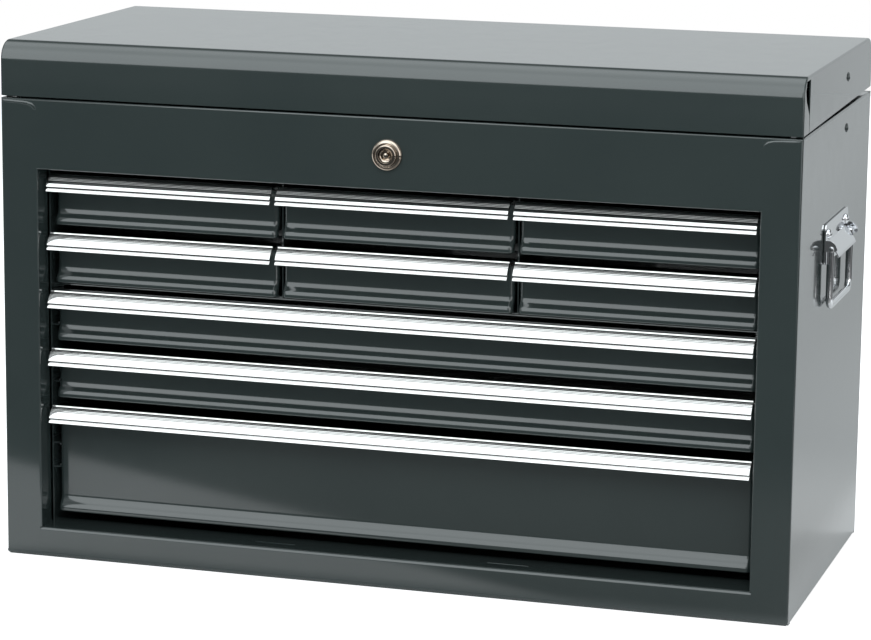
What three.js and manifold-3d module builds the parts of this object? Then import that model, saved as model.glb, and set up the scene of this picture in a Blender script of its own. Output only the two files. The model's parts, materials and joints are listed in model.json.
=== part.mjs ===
// Machinist tool chest: a sheet-steel carcass with a hinged lid over a till,
// nine drawers behind a framed front, a cam lock, folding stays and side handles.
// Millimetres. X runs to the right, Y from front to back and Z up.
// The origin is the centre of the footprint, on the surface that the chest stands on.

import * as THREE from 'three'
import { mergeVertices } from 'three/addons/utils/BufferGeometryUtils.js'
import Module from 'manifold-3d'

const wasm = await Module()
wasm.setup()

// Overall sizes
const chestWidth = 660
const chestDepth = 302
const bodyHeight = 383
const lidHeight = 45
const lidSeam = 1
const lidRearSeam = 2.6
const lidRoll = 16
const carcassSheet = 1.2
const fit = 0.3

// Front frame
const stileWidth = 31.2
const topRailHeight = 57.6
const bottomRailHeight = 25
const jambDepth = 20
const bottomFlangeDepth = 35
const rimFlange = 9
const sideFlange = 6
const slotLength = 34
const slotWidth = 2.2
const slotInset = 15

// Inner structure
const uprightInset = 27
const uprightSet = 0.4
const shelfInset = 34
const shelfDrop = 2
const shelfSeatWidth = 8
const tillUpstand = 10
const dividerFoot = 8

// Drawer rows, from the top down: split rows, full shallow rows and one deep row
const splitRows = 2
const shallowRows = 4
const columns = 3
const shallowHeight = 43.5
const rowGap = 5
const headGap = 5.8
const footGap = 8.2
const drawerSideGap = 4.3
const columnGap = 4.6

// Drawer trays
const traySheet = 0.9
const trayDepth = 250
const trayLift = 2
const panelInset = 29
const panelThickness = 2
const flareReach = 5
const flareHeight = 5
const flareRise = 5.5
const flareRound = 1.6

// Aluminium pull trims
const trimWall = 1.4
const trimHeight = 13.3
const trimLipInset = 7
const trimLipHeight = 2.7
const trimGroove = 1
const trimCrestInset = 18
const trimClip = 5

// Runners of the split rows
const runnerInset = 6
const runnerFlange = 4.6
const runnerTipGap = 1.3
const runnerHeadroom = 0.6
const runnerEndGap = 9

// Slides of the full-width rows
const slideZone = 12.9
const slideHeight = 22
const slideReach = 9
const slideMemberReach = 10

// Cam lock in the top rail
const lockDrop = 29.6
const lockBezelRadius = 12.5
const lockBezelDepth = 3.2
const lockCollarRadius = 8.6
const lockCollarDepth = 2.2
const lockBarrelRadius = 9.2
const lockBarrelLength = 13
const lockPlugRadius = 5.6
const lockPlugSet = 0.6
const lockPlugTail = 3.5
const keywayOuterRadius = 4.1
const keywayInnerRadius = 2.3
const keywayDepth = 6
const lockNutRadius = 13.5
const lockNutThickness = 3
const camThickness = 2
const camWidth = 9
const camLength = 24

// Striker that hangs from the lid beside the lock
const strikerGap = 1.8
const strikerWidth = 14
const strikerInset = 14
const strikerDrop = 9.4
const strikerLip = 7
const strikerTab = 26

// Continuous hinge
const hingeLength = 600
const hingeKnuckles = 9
const hingeKnuckleRadius = 2.7
const hingeBoreRadius = 1.5
const hingePinRadius = 1.2
const hingeLeafSheet = 1.2
const hingeLeafHeight = 17
const hingeLeafRelief = 0.5

// Folding lid stays
const stayInset = 190
const stayBodyDrop = 16.5
const stayLidRise = 24
const stayLinkLength = 115
const stayLinkWidth = 12
const stayLinkSheet = 1.8
const stayFlangeGap = 0.5
const stayPinRadius = 2.2
const stayHeadRadius = 3.8
const stayHeadHeight = 1.2

// Side drop handles
const handlePivotDrop = 101.5
const handlePivotReach = 6.5
const plateHalf = 50
const plateTopRise = 16.5
const plateBottomDrop = 13
const plateSheet = 1.5
const earReach = 11.5
const earSheet = 1.7
const earHalfHeight = 8
const tongueHalf = 39
const tongueReach = 11
const tongueRise = 8.5
const tongueDrop = 8
const handleRivetOffset = 38.5
const handleRivetRise = 9.5
const handleRivetRadius = 4.5
const handleRivetHeight = 2.2
const handleShankRadius = 2.4
const bailRodRadius = 4
const bailPinRadius = 2.4
const bailDrop = 46
const bailEarGap = 0.6
const bailCorner = 9
const bailPinProud = 1.2

// Planes worked out from the sizes above
const halfWidth = chestWidth / 2
const frontY = -chestDepth / 2
const backY = chestDepth / 2
const openingHalf = halfWidth - stileWidth
const openingTop = bodyHeight - topRailHeight
const openingBottom = bottomRailHeight
const innerHalf = halfWidth - carcassSheet
const lidBottom = bodyHeight + lidSeam
const lockHeight = bodyHeight - lockDrop
const handlePivotHeight = bodyHeight - handlePivotDrop
const lidTop = lidBottom + lidHeight
const tillFloorBottom = openingTop + carcassSheet + fit
const uprightFace = openingHalf + uprightSet
const hingeAxis = { y: backY + fit + hingeKnuckleRadius, z: lidBottom }
const rowHalf = openingHalf - drawerSideGap
const smallWidth = (2 * rowHalf - (columns - 1) * columnGap) / columns
const dividerX = (smallWidth + columnGap) / 2
const rimDrop = trimClip + trimWall

// Curved faces are cut into this many flats.
const turnSides = 24
const pinSides = 12
const rollSteps = 5
const cornerSteps = 4
const flareSteps = 3
const nutFlats = 6
const rodSides = 8
const bailSteps = 26

const paintedSteel = { color: 0x363f3f, roughness: 0.32, metalness: 0.2 }
const bareAluminium = { color: 0xd9dcde, roughness: 0.3, metalness: 0.95 }
const chromePlate = { color: 0xd2d3d4, roughness: 0.12, metalness: 1 }
const zincSteel = { color: 0x9fa2a3, roughness: 0.42, metalness: 0.85 }

// Turn a closed three.js geometry into a solid that can be joined and cut.
function solidFrom(geometry) {
  geometry.deleteAttribute('normal')
  geometry.deleteAttribute('uv')
  const merged = mergeVertices(geometry)
  return new wasm.Manifold(new wasm.Mesh({
    numProp: 3,
    vertProperties: Float32Array.from(merged.attributes.position.array),
    triVerts: Uint32Array.from(merged.index.array),
  }))
}

function joined(solids) {
  return solids.reduce((whole, solid) => whole.add(solid))
}

function without(solid, cuts) {
  return cuts.reduce((left, cut) => left.subtract(cut), solid)
}

// Move every corner of a geometry to the place that a rule gives it.
function replaced(geometry, rule) {
  const corners = geometry.attributes.position
  for (let index = 0; index < corners.count; index += 1) {
    corners.setXYZ(index, ...rule(corners.getX(index), corners.getY(index), corners.getZ(index)))
  }
  return geometry
}

function block(spanX, spanY, spanZ) {
  const ends = (value, span) => (value < 0 ? span[0] : span[1])
  const unitBox = new THREE.BoxGeometry(1, 1, 1)
  return solidFrom(replaced(unitBox, (x, y, z) => [ends(x, spanX), ends(y, spanY), ends(z, spanZ)]))
}

// A span of X given for the right side, or its mirror image on the left.
function spanOn(side, near, far) {
  return side > 0 ? [near, far] : [-far, -near]
}

function bothWays(reach) {
  return [-reach, reach]
}

function arcPoints(centre, radius, fromAngle, toAngle, steps) {
  return Array.from({ length: steps + 1 }, (_, step) => {
    const angle = fromAngle + (toAngle - fromAngle) * step / steps
    return [centre[0] + radius * Math.cos(angle), centre[1] + radius * Math.sin(angle)]
  })
}

function extruded(points) {
  const shape = new THREE.Shape(points.map(([a, b]) => new THREE.Vector2(a, b)))
  return new THREE.ExtrudeGeometry(shape, { depth: 1, bevelEnabled: false })
}

// An outline in Y and Z, carried along X.
function barAlongX(points, [x0, x1]) {
  return solidFrom(replaced(extruded(points), (a, b, along) => [along > 0 ? x1 : x0, a, b]))
}

// An outline in X and Z, carried along Y.
function barAlongY(points, [y0, y1]) {
  return solidFrom(replaced(extruded(points), (a, b, along) => [a, along > 0 ? y0 : y1, b]))
}

function rodAlongX(radius, [x0, x1], y, z, flats = pinSides) {
  const unitRod = new THREE.CylinderGeometry(radius, radius, 1, flats)
  return solidFrom(replaced(unitRod, (a, along, b) => [along > 0 ? x1 : x0, y + b, z + a]))
}

function rodAlongY(radius, [y0, y1], x, z, flats = turnSides) {
  const unitRod = new THREE.CylinderGeometry(radius, radius, 1, flats)
  return solidFrom(replaced(unitRod, (a, along, b) => [x + a, along > 0 ? y1 : y0, z + b]))
}

// A turned piece along X: [radius, station] pairs, with stations rising outwards on the given side.
function turnedAlongX(side, profile, y, z) {
  const geometry = new THREE.LatheGeometry(profile.map(([r, s]) => new THREE.Vector2(r, s)), pinSides)
  geometry.rotateZ(-side * Math.PI / 2)
  geometry.translate(0, y, z)
  return solidFrom(geometry)
}

const chest = new THREE.Group()

function addPiece(name, solid, finish) {
  const { vertProperties, triVerts } = solid.getMesh()
  const geometry = new THREE.BufferGeometry()
  geometry.setAttribute('position', new THREE.BufferAttribute(Float32Array.from(vertProperties), 3))
  geometry.setIndex(new THREE.BufferAttribute(Uint32Array.from(triVerts), 1))
  geometry.computeVertexNormals()
  const mesh = new THREE.Mesh(geometry, new THREE.MeshStandardMaterial(finish))
  mesh.name = name
  chest.add(mesh)
}

const sides = [{ side: -1, word: 'left' }, { side: 1, word: 'right' }]

// Drawer rows with their levels; the deep bottom row takes what height is left.
function drawerRows() {
  const rows = []
  let top = openingTop - headGap
  for (let index = 0; index < shallowRows; index += 1) {
    rows.push({ top, bottom: top - shallowHeight, split: index < splitRows })
    top -= shallowHeight + rowGap
  }
  rows.push({ top, bottom: openingBottom + footGap, split: false })
  return rows.map((row) => ({ ...row, rim: row.top - rimDrop, middle: (row.top + row.bottom) / 2 }))
}

const rows = drawerRows()
const splitList = rows.filter((row) => row.split)
const fullList = rows.filter((row) => !row.split)
const shelfTop = splitList[splitRows - 1].bottom - shelfDrop

function columnCentres() {
  const pitch = smallWidth + columnGap
  return Array.from({ length: columns }, (_, index) => (index - (columns - 1) / 2) * pitch)
}

// A band of sheet in section, given by its outer path and its inner path.
function band(outer, inner) {
  return [...outer, ...inner.slice().reverse()]
}

// The outline of an arch: down one side, across the top and down the other side.
function archPath(half, foot, top) {
  return [[-half, foot], [-half, top], [half, top], [half, foot]]
}

// Front frame: top rail, two stiles, the returns round the opening and the rim flange.
function frontFrame() {
  const inside = frontY + carcassSheet / 2
  const face = band(archPath(halfWidth, 0, bodyHeight), archPath(openingHalf, 0, openingTop))
  const returns = band(
    archPath(openingHalf + carcassSheet, openingBottom, openingTop + carcassSheet),
    archPath(openingHalf, openingBottom, openingTop),
  )
  const frame = [
    barAlongY(face, [frontY, frontY + carcassSheet]),
    barAlongY(returns, [inside, frontY + jambDepth]),
    block(bothWays(innerHalf - fit), [inside, frontY + rimFlange], [bodyHeight - carcassSheet, bodyHeight]),
  ]
  const through = [frontY - carcassSheet, frontY + 2 * carcassSheet]
  return without(joined(frame), [rodAlongY(lockBarrelRadius + fit, through, 0, lockHeight)])
}

// Bottom rail: the face below the drawers and its deep flange with two long slots.
function bottomRail() {
  const under = bottomRailHeight - carcassSheet
  const angle = [
    [frontY, 0],
    [frontY, bottomRailHeight],
    [frontY + bottomFlangeDepth, bottomRailHeight],
    [frontY + bottomFlangeDepth, under],
    [frontY + carcassSheet, under],
    [frontY + carcassSheet, 0],
  ]
  const slots = sides.map(({ side }) => block(
    [side * dividerX - slotLength / 2, side * dividerX + slotLength / 2],
    [frontY + slotInset - slotWidth / 2, frontY + slotInset + slotWidth / 2],
    [under - carcassSheet, bottomRailHeight + carcassSheet],
  ))
  return without(barAlongX(angle, bothWays(openingHalf - fit)), slots)
}

function bottomPanel() {
  return block(
    bothWays(innerHalf - fit),
    [frontY + carcassSheet + fit, backY - carcassSheet - fit],
    [0, carcassSheet],
  )
}

function backPanel() {
  return joined([
    block(bothWays(halfWidth), [backY - carcassSheet, backY], [0, bodyHeight]),
    block(bothWays(innerHalf - fit), [backY - sideFlange, backY], [bodyHeight - carcassSheet, bodyHeight]),
  ])
}

// Places of the side handles and stays, which their holes in the side panels share.
const handlePlateFace = halfWidth + fit
const handleRivetLevel = handlePivotHeight + handleRivetRise
const stayPivotY = frontY + stayInset
const stayBodyZ = bodyHeight - stayBodyDrop
const stayLidZ = lidBottom + stayLidRise

function wallHole(side, radius, y, z) {
  return rodAlongX(radius + fit, spanOn(side, innerHalf - carcassSheet, halfWidth + carcassSheet), y, z)
}

function sidePanel(side) {
  const length = [frontY + carcassSheet + fit, backY - carcassSheet - fit]
  const panel = joined([
    block(spanOn(side, innerHalf, halfWidth), length, [0, bodyHeight]),
    block(
      spanOn(side, innerHalf - sideFlange, halfWidth),
      [frontY + rimFlange + fit, backY - sideFlange - fit],
      [bodyHeight - carcassSheet, bodyHeight],
    ),
  ])
  return without(panel, [
    wallHole(side, stayPinRadius, stayPivotY, stayBodyZ),
    wallHole(side, handleShankRadius, -handleRivetOffset, handleRivetLevel),
    wallHole(side, handleShankRadius, handleRivetOffset, handleRivetLevel),
  ])
}

// A tray in section across its width: a floor with a wall at each side.
function troughOutline(centre, half, sheet, floor, rim) {
  return [
    [centre - half, floor],
    [centre - half, rim],
    [centre - half + sheet, rim],
    [centre - half + sheet, floor + sheet],
    [centre + half - sheet, floor + sheet],
    [centre + half - sheet, rim],
    [centre + half, rim],
    [centre + half, floor],
  ]
}

// Till floor: the tray bottom under the lid, with upstands at the sides and back.
function tillFloor() {
  const half = innerHalf - fit
  const back = backY - carcassSheet - fit
  const rim = tillFloorBottom + tillUpstand
  const trough = troughOutline(0, half, carcassSheet, tillFloorBottom, rim)
  return joined([
    barAlongY(trough, [frontY + carcassSheet + fit, back]),
    block(
      bothWays(half - carcassSheet / 2),
      [back - 2 * carcassSheet, back - carcassSheet],
      [tillFloorBottom + carcassSheet / 2, rim - carcassSheet],
    ),
  ])
}

// The pair of ledges that a small drawer's side flange runs between.
function runnerLedges(wallX, tipX, row) {
  const span = [Math.min(wallX, tipX), Math.max(wallX, tipX)]
  const length = [frontY + shelfInset, backY - runnerEndGap]
  const under = row.rim - traySheet - fit
  const over = row.rim + runnerHeadroom
  return [
    block(span, length, [under - carcassSheet, under]),
    block(span, length, [over, over + carcassSheet]),
  ]
}

const flangeTip = smallWidth / 2 - runnerInset + runnerTipGap

// Upright sheet beside the drawers, with runner ledges above and slide channels below.
function innerSide(side) {
  const outerCentre = columnCentres()[columns - 1]
  const wallOverlap = uprightFace + carcassSheet / 2
  const parts = [
    block(
      spanOn(side, uprightFace, uprightFace + carcassSheet),
      [frontY + uprightInset, backY - carcassSheet - fit],
      [carcassSheet + fit, tillFloorBottom - fit],
    ),
    block(
      spanOn(side, uprightFace - shelfSeatWidth, wallOverlap),
      [frontY + shelfInset, backY - runnerEndGap],
      [shelfTop - 2 * carcassSheet - fit, shelfTop - carcassSheet - fit],
    ),
  ]
  for (const row of splitList) {
    parts.push(...runnerLedges(side * wallOverlap, side * (outerCentre + flangeTip), row))
  }
  for (const row of fullList) {
    for (const way of [-1, 1]) {
      const outer = row.middle + way * slideHeight / 2
      const inner = outer - way * carcassSheet
      parts.push(block(
        spanOn(side, uprightFace - slideReach, wallOverlap),
        [frontY + shelfInset, backY - runnerEndGap],
        [Math.min(outer, inner), Math.max(outer, inner)],
      ))
    }
  }
  return joined(parts)
}

function midShelf() {
  return block(
    bothWays(uprightFace - fit),
    [frontY + shelfInset, backY - carcassSheet - fit],
    [shelfTop - carcassSheet, shelfTop],
  )
}

// Partition between two columns of small drawers, with ledges on both faces.
function divider(side) {
  const centre = side * dividerX
  const length = [frontY + shelfInset, backY - carcassSheet - fit]
  const foot = [shelfTop + fit, shelfTop + fit + carcassSheet]
  const parts = [
    block([centre - carcassSheet / 2, centre + carcassSheet / 2], length, [foot[0], tillFloorBottom - fit]),
    block([centre - dividerFoot, centre + dividerFoot], length, foot),
  ]
  for (const row of splitList) {
    for (const neighbour of [0, side * columnCentres()[columns - 1]]) {
      const towards = Math.sign(neighbour - centre)
      parts.push(...runnerLedges(centre, neighbour - towards * flangeTip, row))
    }
  }
  return joined(parts)
}

// Drawer front in section: a flat face that steps forward to a rounded bottom edge.
function panelOutline(row) {
  const face = frontY + panelInset
  const back = face + panelThickness
  const flareFace = face - flareReach
  const rounding = arcPoints(
    [flareFace + flareRound, row.bottom + flareRound], flareRound, -Math.PI / 2, -Math.PI, flareSteps,
  )
  return [
    [back, row.bottom],
    ...rounding,
    [flareFace, row.bottom + flareHeight],
    [face, row.bottom + flareHeight + flareRise],
    [face, row.top - trimWall - fit],
    [back, row.top - trimWall - fit],
  ]
}

// Small drawers have walls whose rims turn outwards to run on the ledges.
function flangedTroughOutline(centre, half, sheet, floor, rim) {
  const tip = half + runnerFlange
  return [
    [centre - half, floor],
    [centre - half, rim - sheet],
    [centre - tip, rim - sheet],
    [centre - tip, rim],
    [centre - half + sheet, rim],
    [centre - half + sheet, floor + sheet],
    [centre + half - sheet, floor + sheet],
    [centre + half - sheet, rim],
    [centre + tip, rim],
    [centre + tip, rim - sheet],
    [centre + half, rim - sheet],
    [centre + half, floor],
  ]
}

// A drawer: the folded front, and a trough behind it that a back wall closes.
function tray(centre, panelHalf, trayHalf, row) {
  const embed = frontY + panelInset + panelThickness / 2
  const flangeStart = frontY + shelfInset
  const back = frontY + panelInset + panelThickness + trayDepth
  const floor = row.bottom + trayLift
  const plain = troughOutline(centre, trayHalf, traySheet, floor, row.rim)
  const flanged = flangedTroughOutline(centre, trayHalf, traySheet, floor, row.rim)
  const parts = [
    barAlongX(panelOutline(row), [centre - panelHalf, centre + panelHalf]),
    barAlongY(plain, [embed, row.split ? flangeStart : back]),
    block(
      [centre - trayHalf + traySheet / 2, centre + trayHalf - traySheet / 2],
      [back - 2 * traySheet, back - traySheet],
      [floor + traySheet / 2, row.rim - traySheet],
    ),
  ]
  if (row.split) parts.push(barAlongY(flanged, [flangeStart, back]))
  return joined(parts)
}

// Pull trim in section: a clip over the drawer front, a ledge, a slope and a lip to pull on.
function trimOutline(row) {
  const face = frontY + panelInset
  const backLeg = face + panelThickness + fit
  const crest = frontY + trimCrestInset
  const lip = frontY + trimLipInset
  const slopeFoot = lip + trimGroove
  const lipTop = row.top - trimHeight + trimLipHeight
  const under = row.top - trimWall
  const clipEnd = row.top - trimClip
  return [
    [backLeg + trimWall, row.top],
    [crest, row.top],
    [slopeFoot, lipTop + trimGroove],
    [slopeFoot, lipTop],
    [lip, lipTop],
    [lip, row.top - trimHeight],
    [lip + trimWall, row.top - trimHeight],
    [slopeFoot + trimWall, lipTop],
    [crest + trimWall / 2, under],
    [face - fit - trimWall, under],
    [face - fit - trimWall, clipEnd],
    [face - fit, clipEnd],
    [face - fit, under],
    [backLeg, under],
    [backLeg, clipEnd],
    [backLeg + trimWall, clipEnd],
  ]
}

// Drawer member of a slide: a channel on the drawer's side that runs inside the fixed one.
function slideMember(side, row, trayHalf) {
  const web = trayHalf + fit
  const half = slideHeight / 2 - carcassSheet - fit
  const length = [frontY + shelfInset, frontY + panelInset + panelThickness + trayDepth]
  const section = [
    [web, -half],
    [web, half],
    [web + slideMemberReach, half],
    [web + slideMemberReach, half - carcassSheet],
    [web + carcassSheet, half - carcassSheet],
    [web + carcassSheet, carcassSheet - half],
    [web + slideMemberReach, carcassSheet - half],
    [web + slideMemberReach, -half],
  ]
  return barAlongY(section.map(([x, z]) => [side * x, row.middle + z]), length)
}

function addDrawers() {
  const fullTrayHalf = uprightFace - slideZone
  rows.forEach((row, index) => {
    const columnWords = row.split ? ['_left', '_middle', '_right'] : ['']
    const centres = row.split ? columnCentres() : [0]
    const panelHalf = row.split ? smallWidth / 2 : rowHalf
    const trayHalf = row.split ? smallWidth / 2 - runnerInset : fullTrayHalf
    centres.forEach((centre, column) => {
      const word = `row_${index + 1}${columnWords[column]}`
      addPiece(`drawer_${word}`, tray(centre, panelHalf, trayHalf, row), paintedSteel)
      const trimSpan = [centre - panelHalf, centre + panelHalf]
      addPiece(`pull_trim_${word}`, barAlongX(trimOutline(row), trimSpan), bareAluminium)
    })
    if (!row.split) {
      for (const { side, word } of sides) {
        addPiece(`slide_member_row_${index + 1}_${word}`, slideMember(side, row, trayHalf), zincSteel)
      }
    }
  })
}

// Cam lock. The housing is a stepped bezel and a barrel through the rail.
function lockHousing() {
  const collarFront = frontY - fit - lockBezelDepth - lockCollarDepth
  const body = joined([
    rodAlongY(lockBezelRadius, [frontY - fit - lockBezelDepth, frontY - fit], 0, lockHeight),
    rodAlongY(lockCollarRadius, [collarFront, frontY - fit], 0, lockHeight),
    rodAlongY(lockBarrelRadius, [frontY - fit - lockBezelDepth / 2, frontY + lockBarrelLength], 0, lockHeight),
  ])
  const boreSpan = [collarFront - lockCollarDepth, frontY + lockBarrelLength + lockCollarDepth]
  const bore = rodAlongY(lockPlugRadius + fit, boreSpan, 0, lockHeight)
  return without(body, [bore])
}

// The plug carries a ring-shaped keyway round a centre post.
function lockPlug() {
  const front = frontY - fit - lockBezelDepth - lockCollarDepth + lockPlugSet
  const body = rodAlongY(lockPlugRadius, [front, frontY + lockBarrelLength + lockPlugTail], 0, lockHeight)
  const keyway = without(
    rodAlongY(keywayOuterRadius, [front - keywayDepth, front + keywayDepth], 0, lockHeight),
    [rodAlongY(keywayInnerRadius, [front - 2 * keywayDepth, front + 2 * keywayDepth], 0, lockHeight)],
  )
  return without(body, [keyway])
}

function lockCam() {
  const level = frontY + lockBarrelLength + lockPlugTail + fit
  const half = camWidth / 2
  const tip = lockHeight + camLength - half
  const outline = [
    ...arcPoints([0, tip], half, 0, Math.PI, cornerSteps),
    ...arcPoints([0, lockHeight], half, Math.PI, 2 * Math.PI, cornerSteps),
  ]
  return barAlongY(outline, [level, level + camThickness])
}

function lockNut() {
  const span = [frontY + carcassSheet + fit, frontY + carcassSheet + fit + lockNutThickness]
  const nut = rodAlongY(lockNutRadius, span, 0, lockHeight, nutFlats)
  return without(nut, [
    rodAlongY(lockBarrelRadius + fit, [frontY, span[1] + lockNutThickness], 0, lockHeight),
  ])
}

// Lid. The skin rolls over at the front and back; flat ends close it.
function lidOuterPath() {
  const front = arcPoints([frontY + lidRoll, lidTop - lidRoll], lidRoll, Math.PI, Math.PI / 2, rollSteps)
  const back = arcPoints([backY - lidRoll, lidTop - lidRoll], lidRoll, Math.PI / 2, 0, rollSteps)
  return [[frontY, lidBottom], ...front, ...back, [backY, lidBottom + lidRearSeam]]
}

function lidInnerPath() {
  const radius = lidRoll - carcassSheet
  const front = arcPoints([frontY + lidRoll, lidTop - lidRoll], radius, Math.PI, Math.PI / 2, rollSteps)
  const back = arcPoints([backY - lidRoll, lidTop - lidRoll], radius, Math.PI / 2, 0, rollSteps)
  return [
    [frontY + carcassSheet, lidBottom],
    ...front,
    ...back,
    [backY - carcassSheet, lidBottom + lidRearSeam],
  ]
}

function lidSkin() {
  return barAlongX([...lidOuterPath(), ...lidInnerPath().reverse()], bothWays(innerHalf - fit))
}

function lidEnd(side) {
  const plate = barAlongX(lidOuterPath(), spanOn(side, innerHalf, halfWidth))
  return without(plate, [wallHole(side, stayPinRadius, stayPivotY, stayLidZ)])
}

// The striker drops beside the lock barrel; its lip passes under the turned cam.
function lidStriker() {
  const near = lockBarrelRadius + strikerGap
  const leg = frontY + strikerInset
  const tabStart = frontY + lidRoll
  const top = lidTop - carcassSheet - fit
  const foot = lockHeight - strikerDrop
  return barAlongX([
    [leg + strikerLip, foot],
    [leg, foot],
    [leg, top - 2 * carcassSheet],
    [tabStart + carcassSheet, top],
    [tabStart + strikerTab, top],
    [tabStart + strikerTab, top - carcassSheet],
    [tabStart + 2 * carcassSheet, top - carcassSheet],
    [leg + carcassSheet, top - 3 * carcassSheet],
    [leg + carcassSheet, foot + carcassSheet],
    [leg + strikerLip, foot + carcassSheet],
  ], [near, near + strikerWidth])
}

// Continuous hinge. Even knuckles belong to the body's leaf and odd ones to the lid's.
function hingeLeaf(way) {
  const pitch = hingeLength / hingeKnuckles
  const parity = way < 0 ? 0 : 1
  const leaf = [hingeAxis.y - hingeKnuckleRadius, hingeAxis.y - hingeKnuckleRadius + hingeLeafSheet]
  const near = hingeAxis.z + way * (hingeKnuckleRadius + hingeLeafRelief)
  const far = hingeAxis.z + way * (hingeKnuckleRadius + hingeLeafRelief + hingeLeafHeight)
  const parts = [block(bothWays(hingeLength / 2), leaf, [Math.min(near, far), Math.max(near, far)])]
  const bores = []
  for (let index = parity; index < hingeKnuckles; index += 2) {
    const start = -hingeLength / 2 + index * pitch
    const span = [start + fit / 2, start + pitch - fit / 2]
    const root = near + way * hingeLeafRelief
    parts.push(block(span, leaf, [Math.min(hingeAxis.z, root), Math.max(hingeAxis.z, root)]))
    parts.push(rodAlongX(hingeKnuckleRadius, span, hingeAxis.y, hingeAxis.z))
    bores.push(rodAlongX(hingeBoreRadius, [start - fit, start + pitch + fit], hingeAxis.y, hingeAxis.z))
  }
  return without(joined(parts), bores)
}

function hingePin() {
  return rodAlongX(hingePinRadius, bothWays(hingeLength / 2), hingeAxis.y, hingeAxis.z)
}

// Folding stays. Closed, both links fold forward from the pivots to a shared elbow.
const stayElbow = {
  y: stayPivotY - Math.sqrt(stayLinkLength ** 2 - ((stayLidZ - stayBodyZ) / 2) ** 2),
  z: (stayLidZ + stayBodyZ) / 2,
}
const lowerLinkOuter = innerHalf - sideFlange - stayFlangeGap
const lowerLinkInner = lowerLinkOuter - stayLinkSheet
const upperLinkOuter = lowerLinkInner - fit
const upperLinkInner = upperLinkOuter - stayLinkSheet

function stayLink(side, from, to, [inner, outer]) {
  const along = Math.atan2(to.z - from.z, to.y - from.y)
  const half = stayLinkWidth / 2
  const quarter = Math.PI / 2
  const outline = [
    ...arcPoints([to.y, to.z], half, along - quarter, along + quarter, cornerSteps),
    ...arcPoints([from.y, from.z], half, along + quarter, along + 3 * quarter, cornerSteps),
  ]
  return barAlongX(outline, spanOn(side, inner, outer))
}

function stayPinHole(side, pivot) {
  const span = spanOn(side, upperLinkInner - stayLinkSheet, lowerLinkOuter + stayLinkSheet)
  return rodAlongX(stayPinRadius + fit, span, pivot.y, pivot.z)
}

const stayBodyPivot = { y: stayPivotY, z: stayBodyZ }
const stayLidPivot = { y: stayPivotY, z: stayLidZ }

// The lower link carries the headed elbow pin that the upper link turns on.
function stayLower(side) {
  const link = without(
    stayLink(side, stayBodyPivot, stayElbow, [lowerLinkInner, lowerLinkOuter]),
    [stayPinHole(side, stayBodyPivot)],
  )
  const shankEnd = upperLinkInner - fit
  const pin = turnedAlongX(side, [
    [0, shankEnd - stayHeadHeight],
    [stayHeadRadius, shankEnd - stayHeadHeight],
    [stayHeadRadius, shankEnd],
    [stayPinRadius, shankEnd],
    [stayPinRadius, lowerLinkOuter - stayLinkSheet / 2],
    [0, lowerLinkOuter - stayLinkSheet / 2],
  ], stayElbow.y, stayElbow.z)
  return joined([link, pin])
}

function stayUpper(side) {
  const link = stayLink(side, stayElbow, stayLidPivot, [upperLinkInner, upperLinkOuter])
  return without(link, [stayPinHole(side, stayElbow), stayPinHole(side, stayLidPivot)])
}

// Rivet that the lower link turns on, headed inside the link and outside the chest.
function stayBodyRivet(side) {
  const outside = halfWidth + fit
  const inside = lowerLinkInner - fit
  return turnedAlongX(side, [
    [0, inside - stayHeadHeight],
    [stayHeadRadius, inside - stayHeadHeight],
    [stayHeadRadius, inside],
    [stayPinRadius, inside],
    [stayPinRadius, outside],
    [stayHeadRadius, outside],
    [stayHeadRadius / 2, outside + stayHeadHeight],
    [0, outside + stayHeadHeight],
  ], stayPivotY, stayBodyZ)
}

// Stub rivet on the lid end, whose inner end faces the hole of the upper link.
function stayLidRivet(side) {
  const outside = halfWidth + fit
  return turnedAlongX(side, [
    [0, upperLinkOuter + fit],
    [stayPinRadius, upperLinkOuter + fit],
    [stayPinRadius, outside],
    [stayHeadRadius, outside],
    [stayHeadRadius / 2, outside + stayHeadHeight],
    [0, outside + stayHeadHeight],
  ], stayPivotY, stayLidZ)
}

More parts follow.
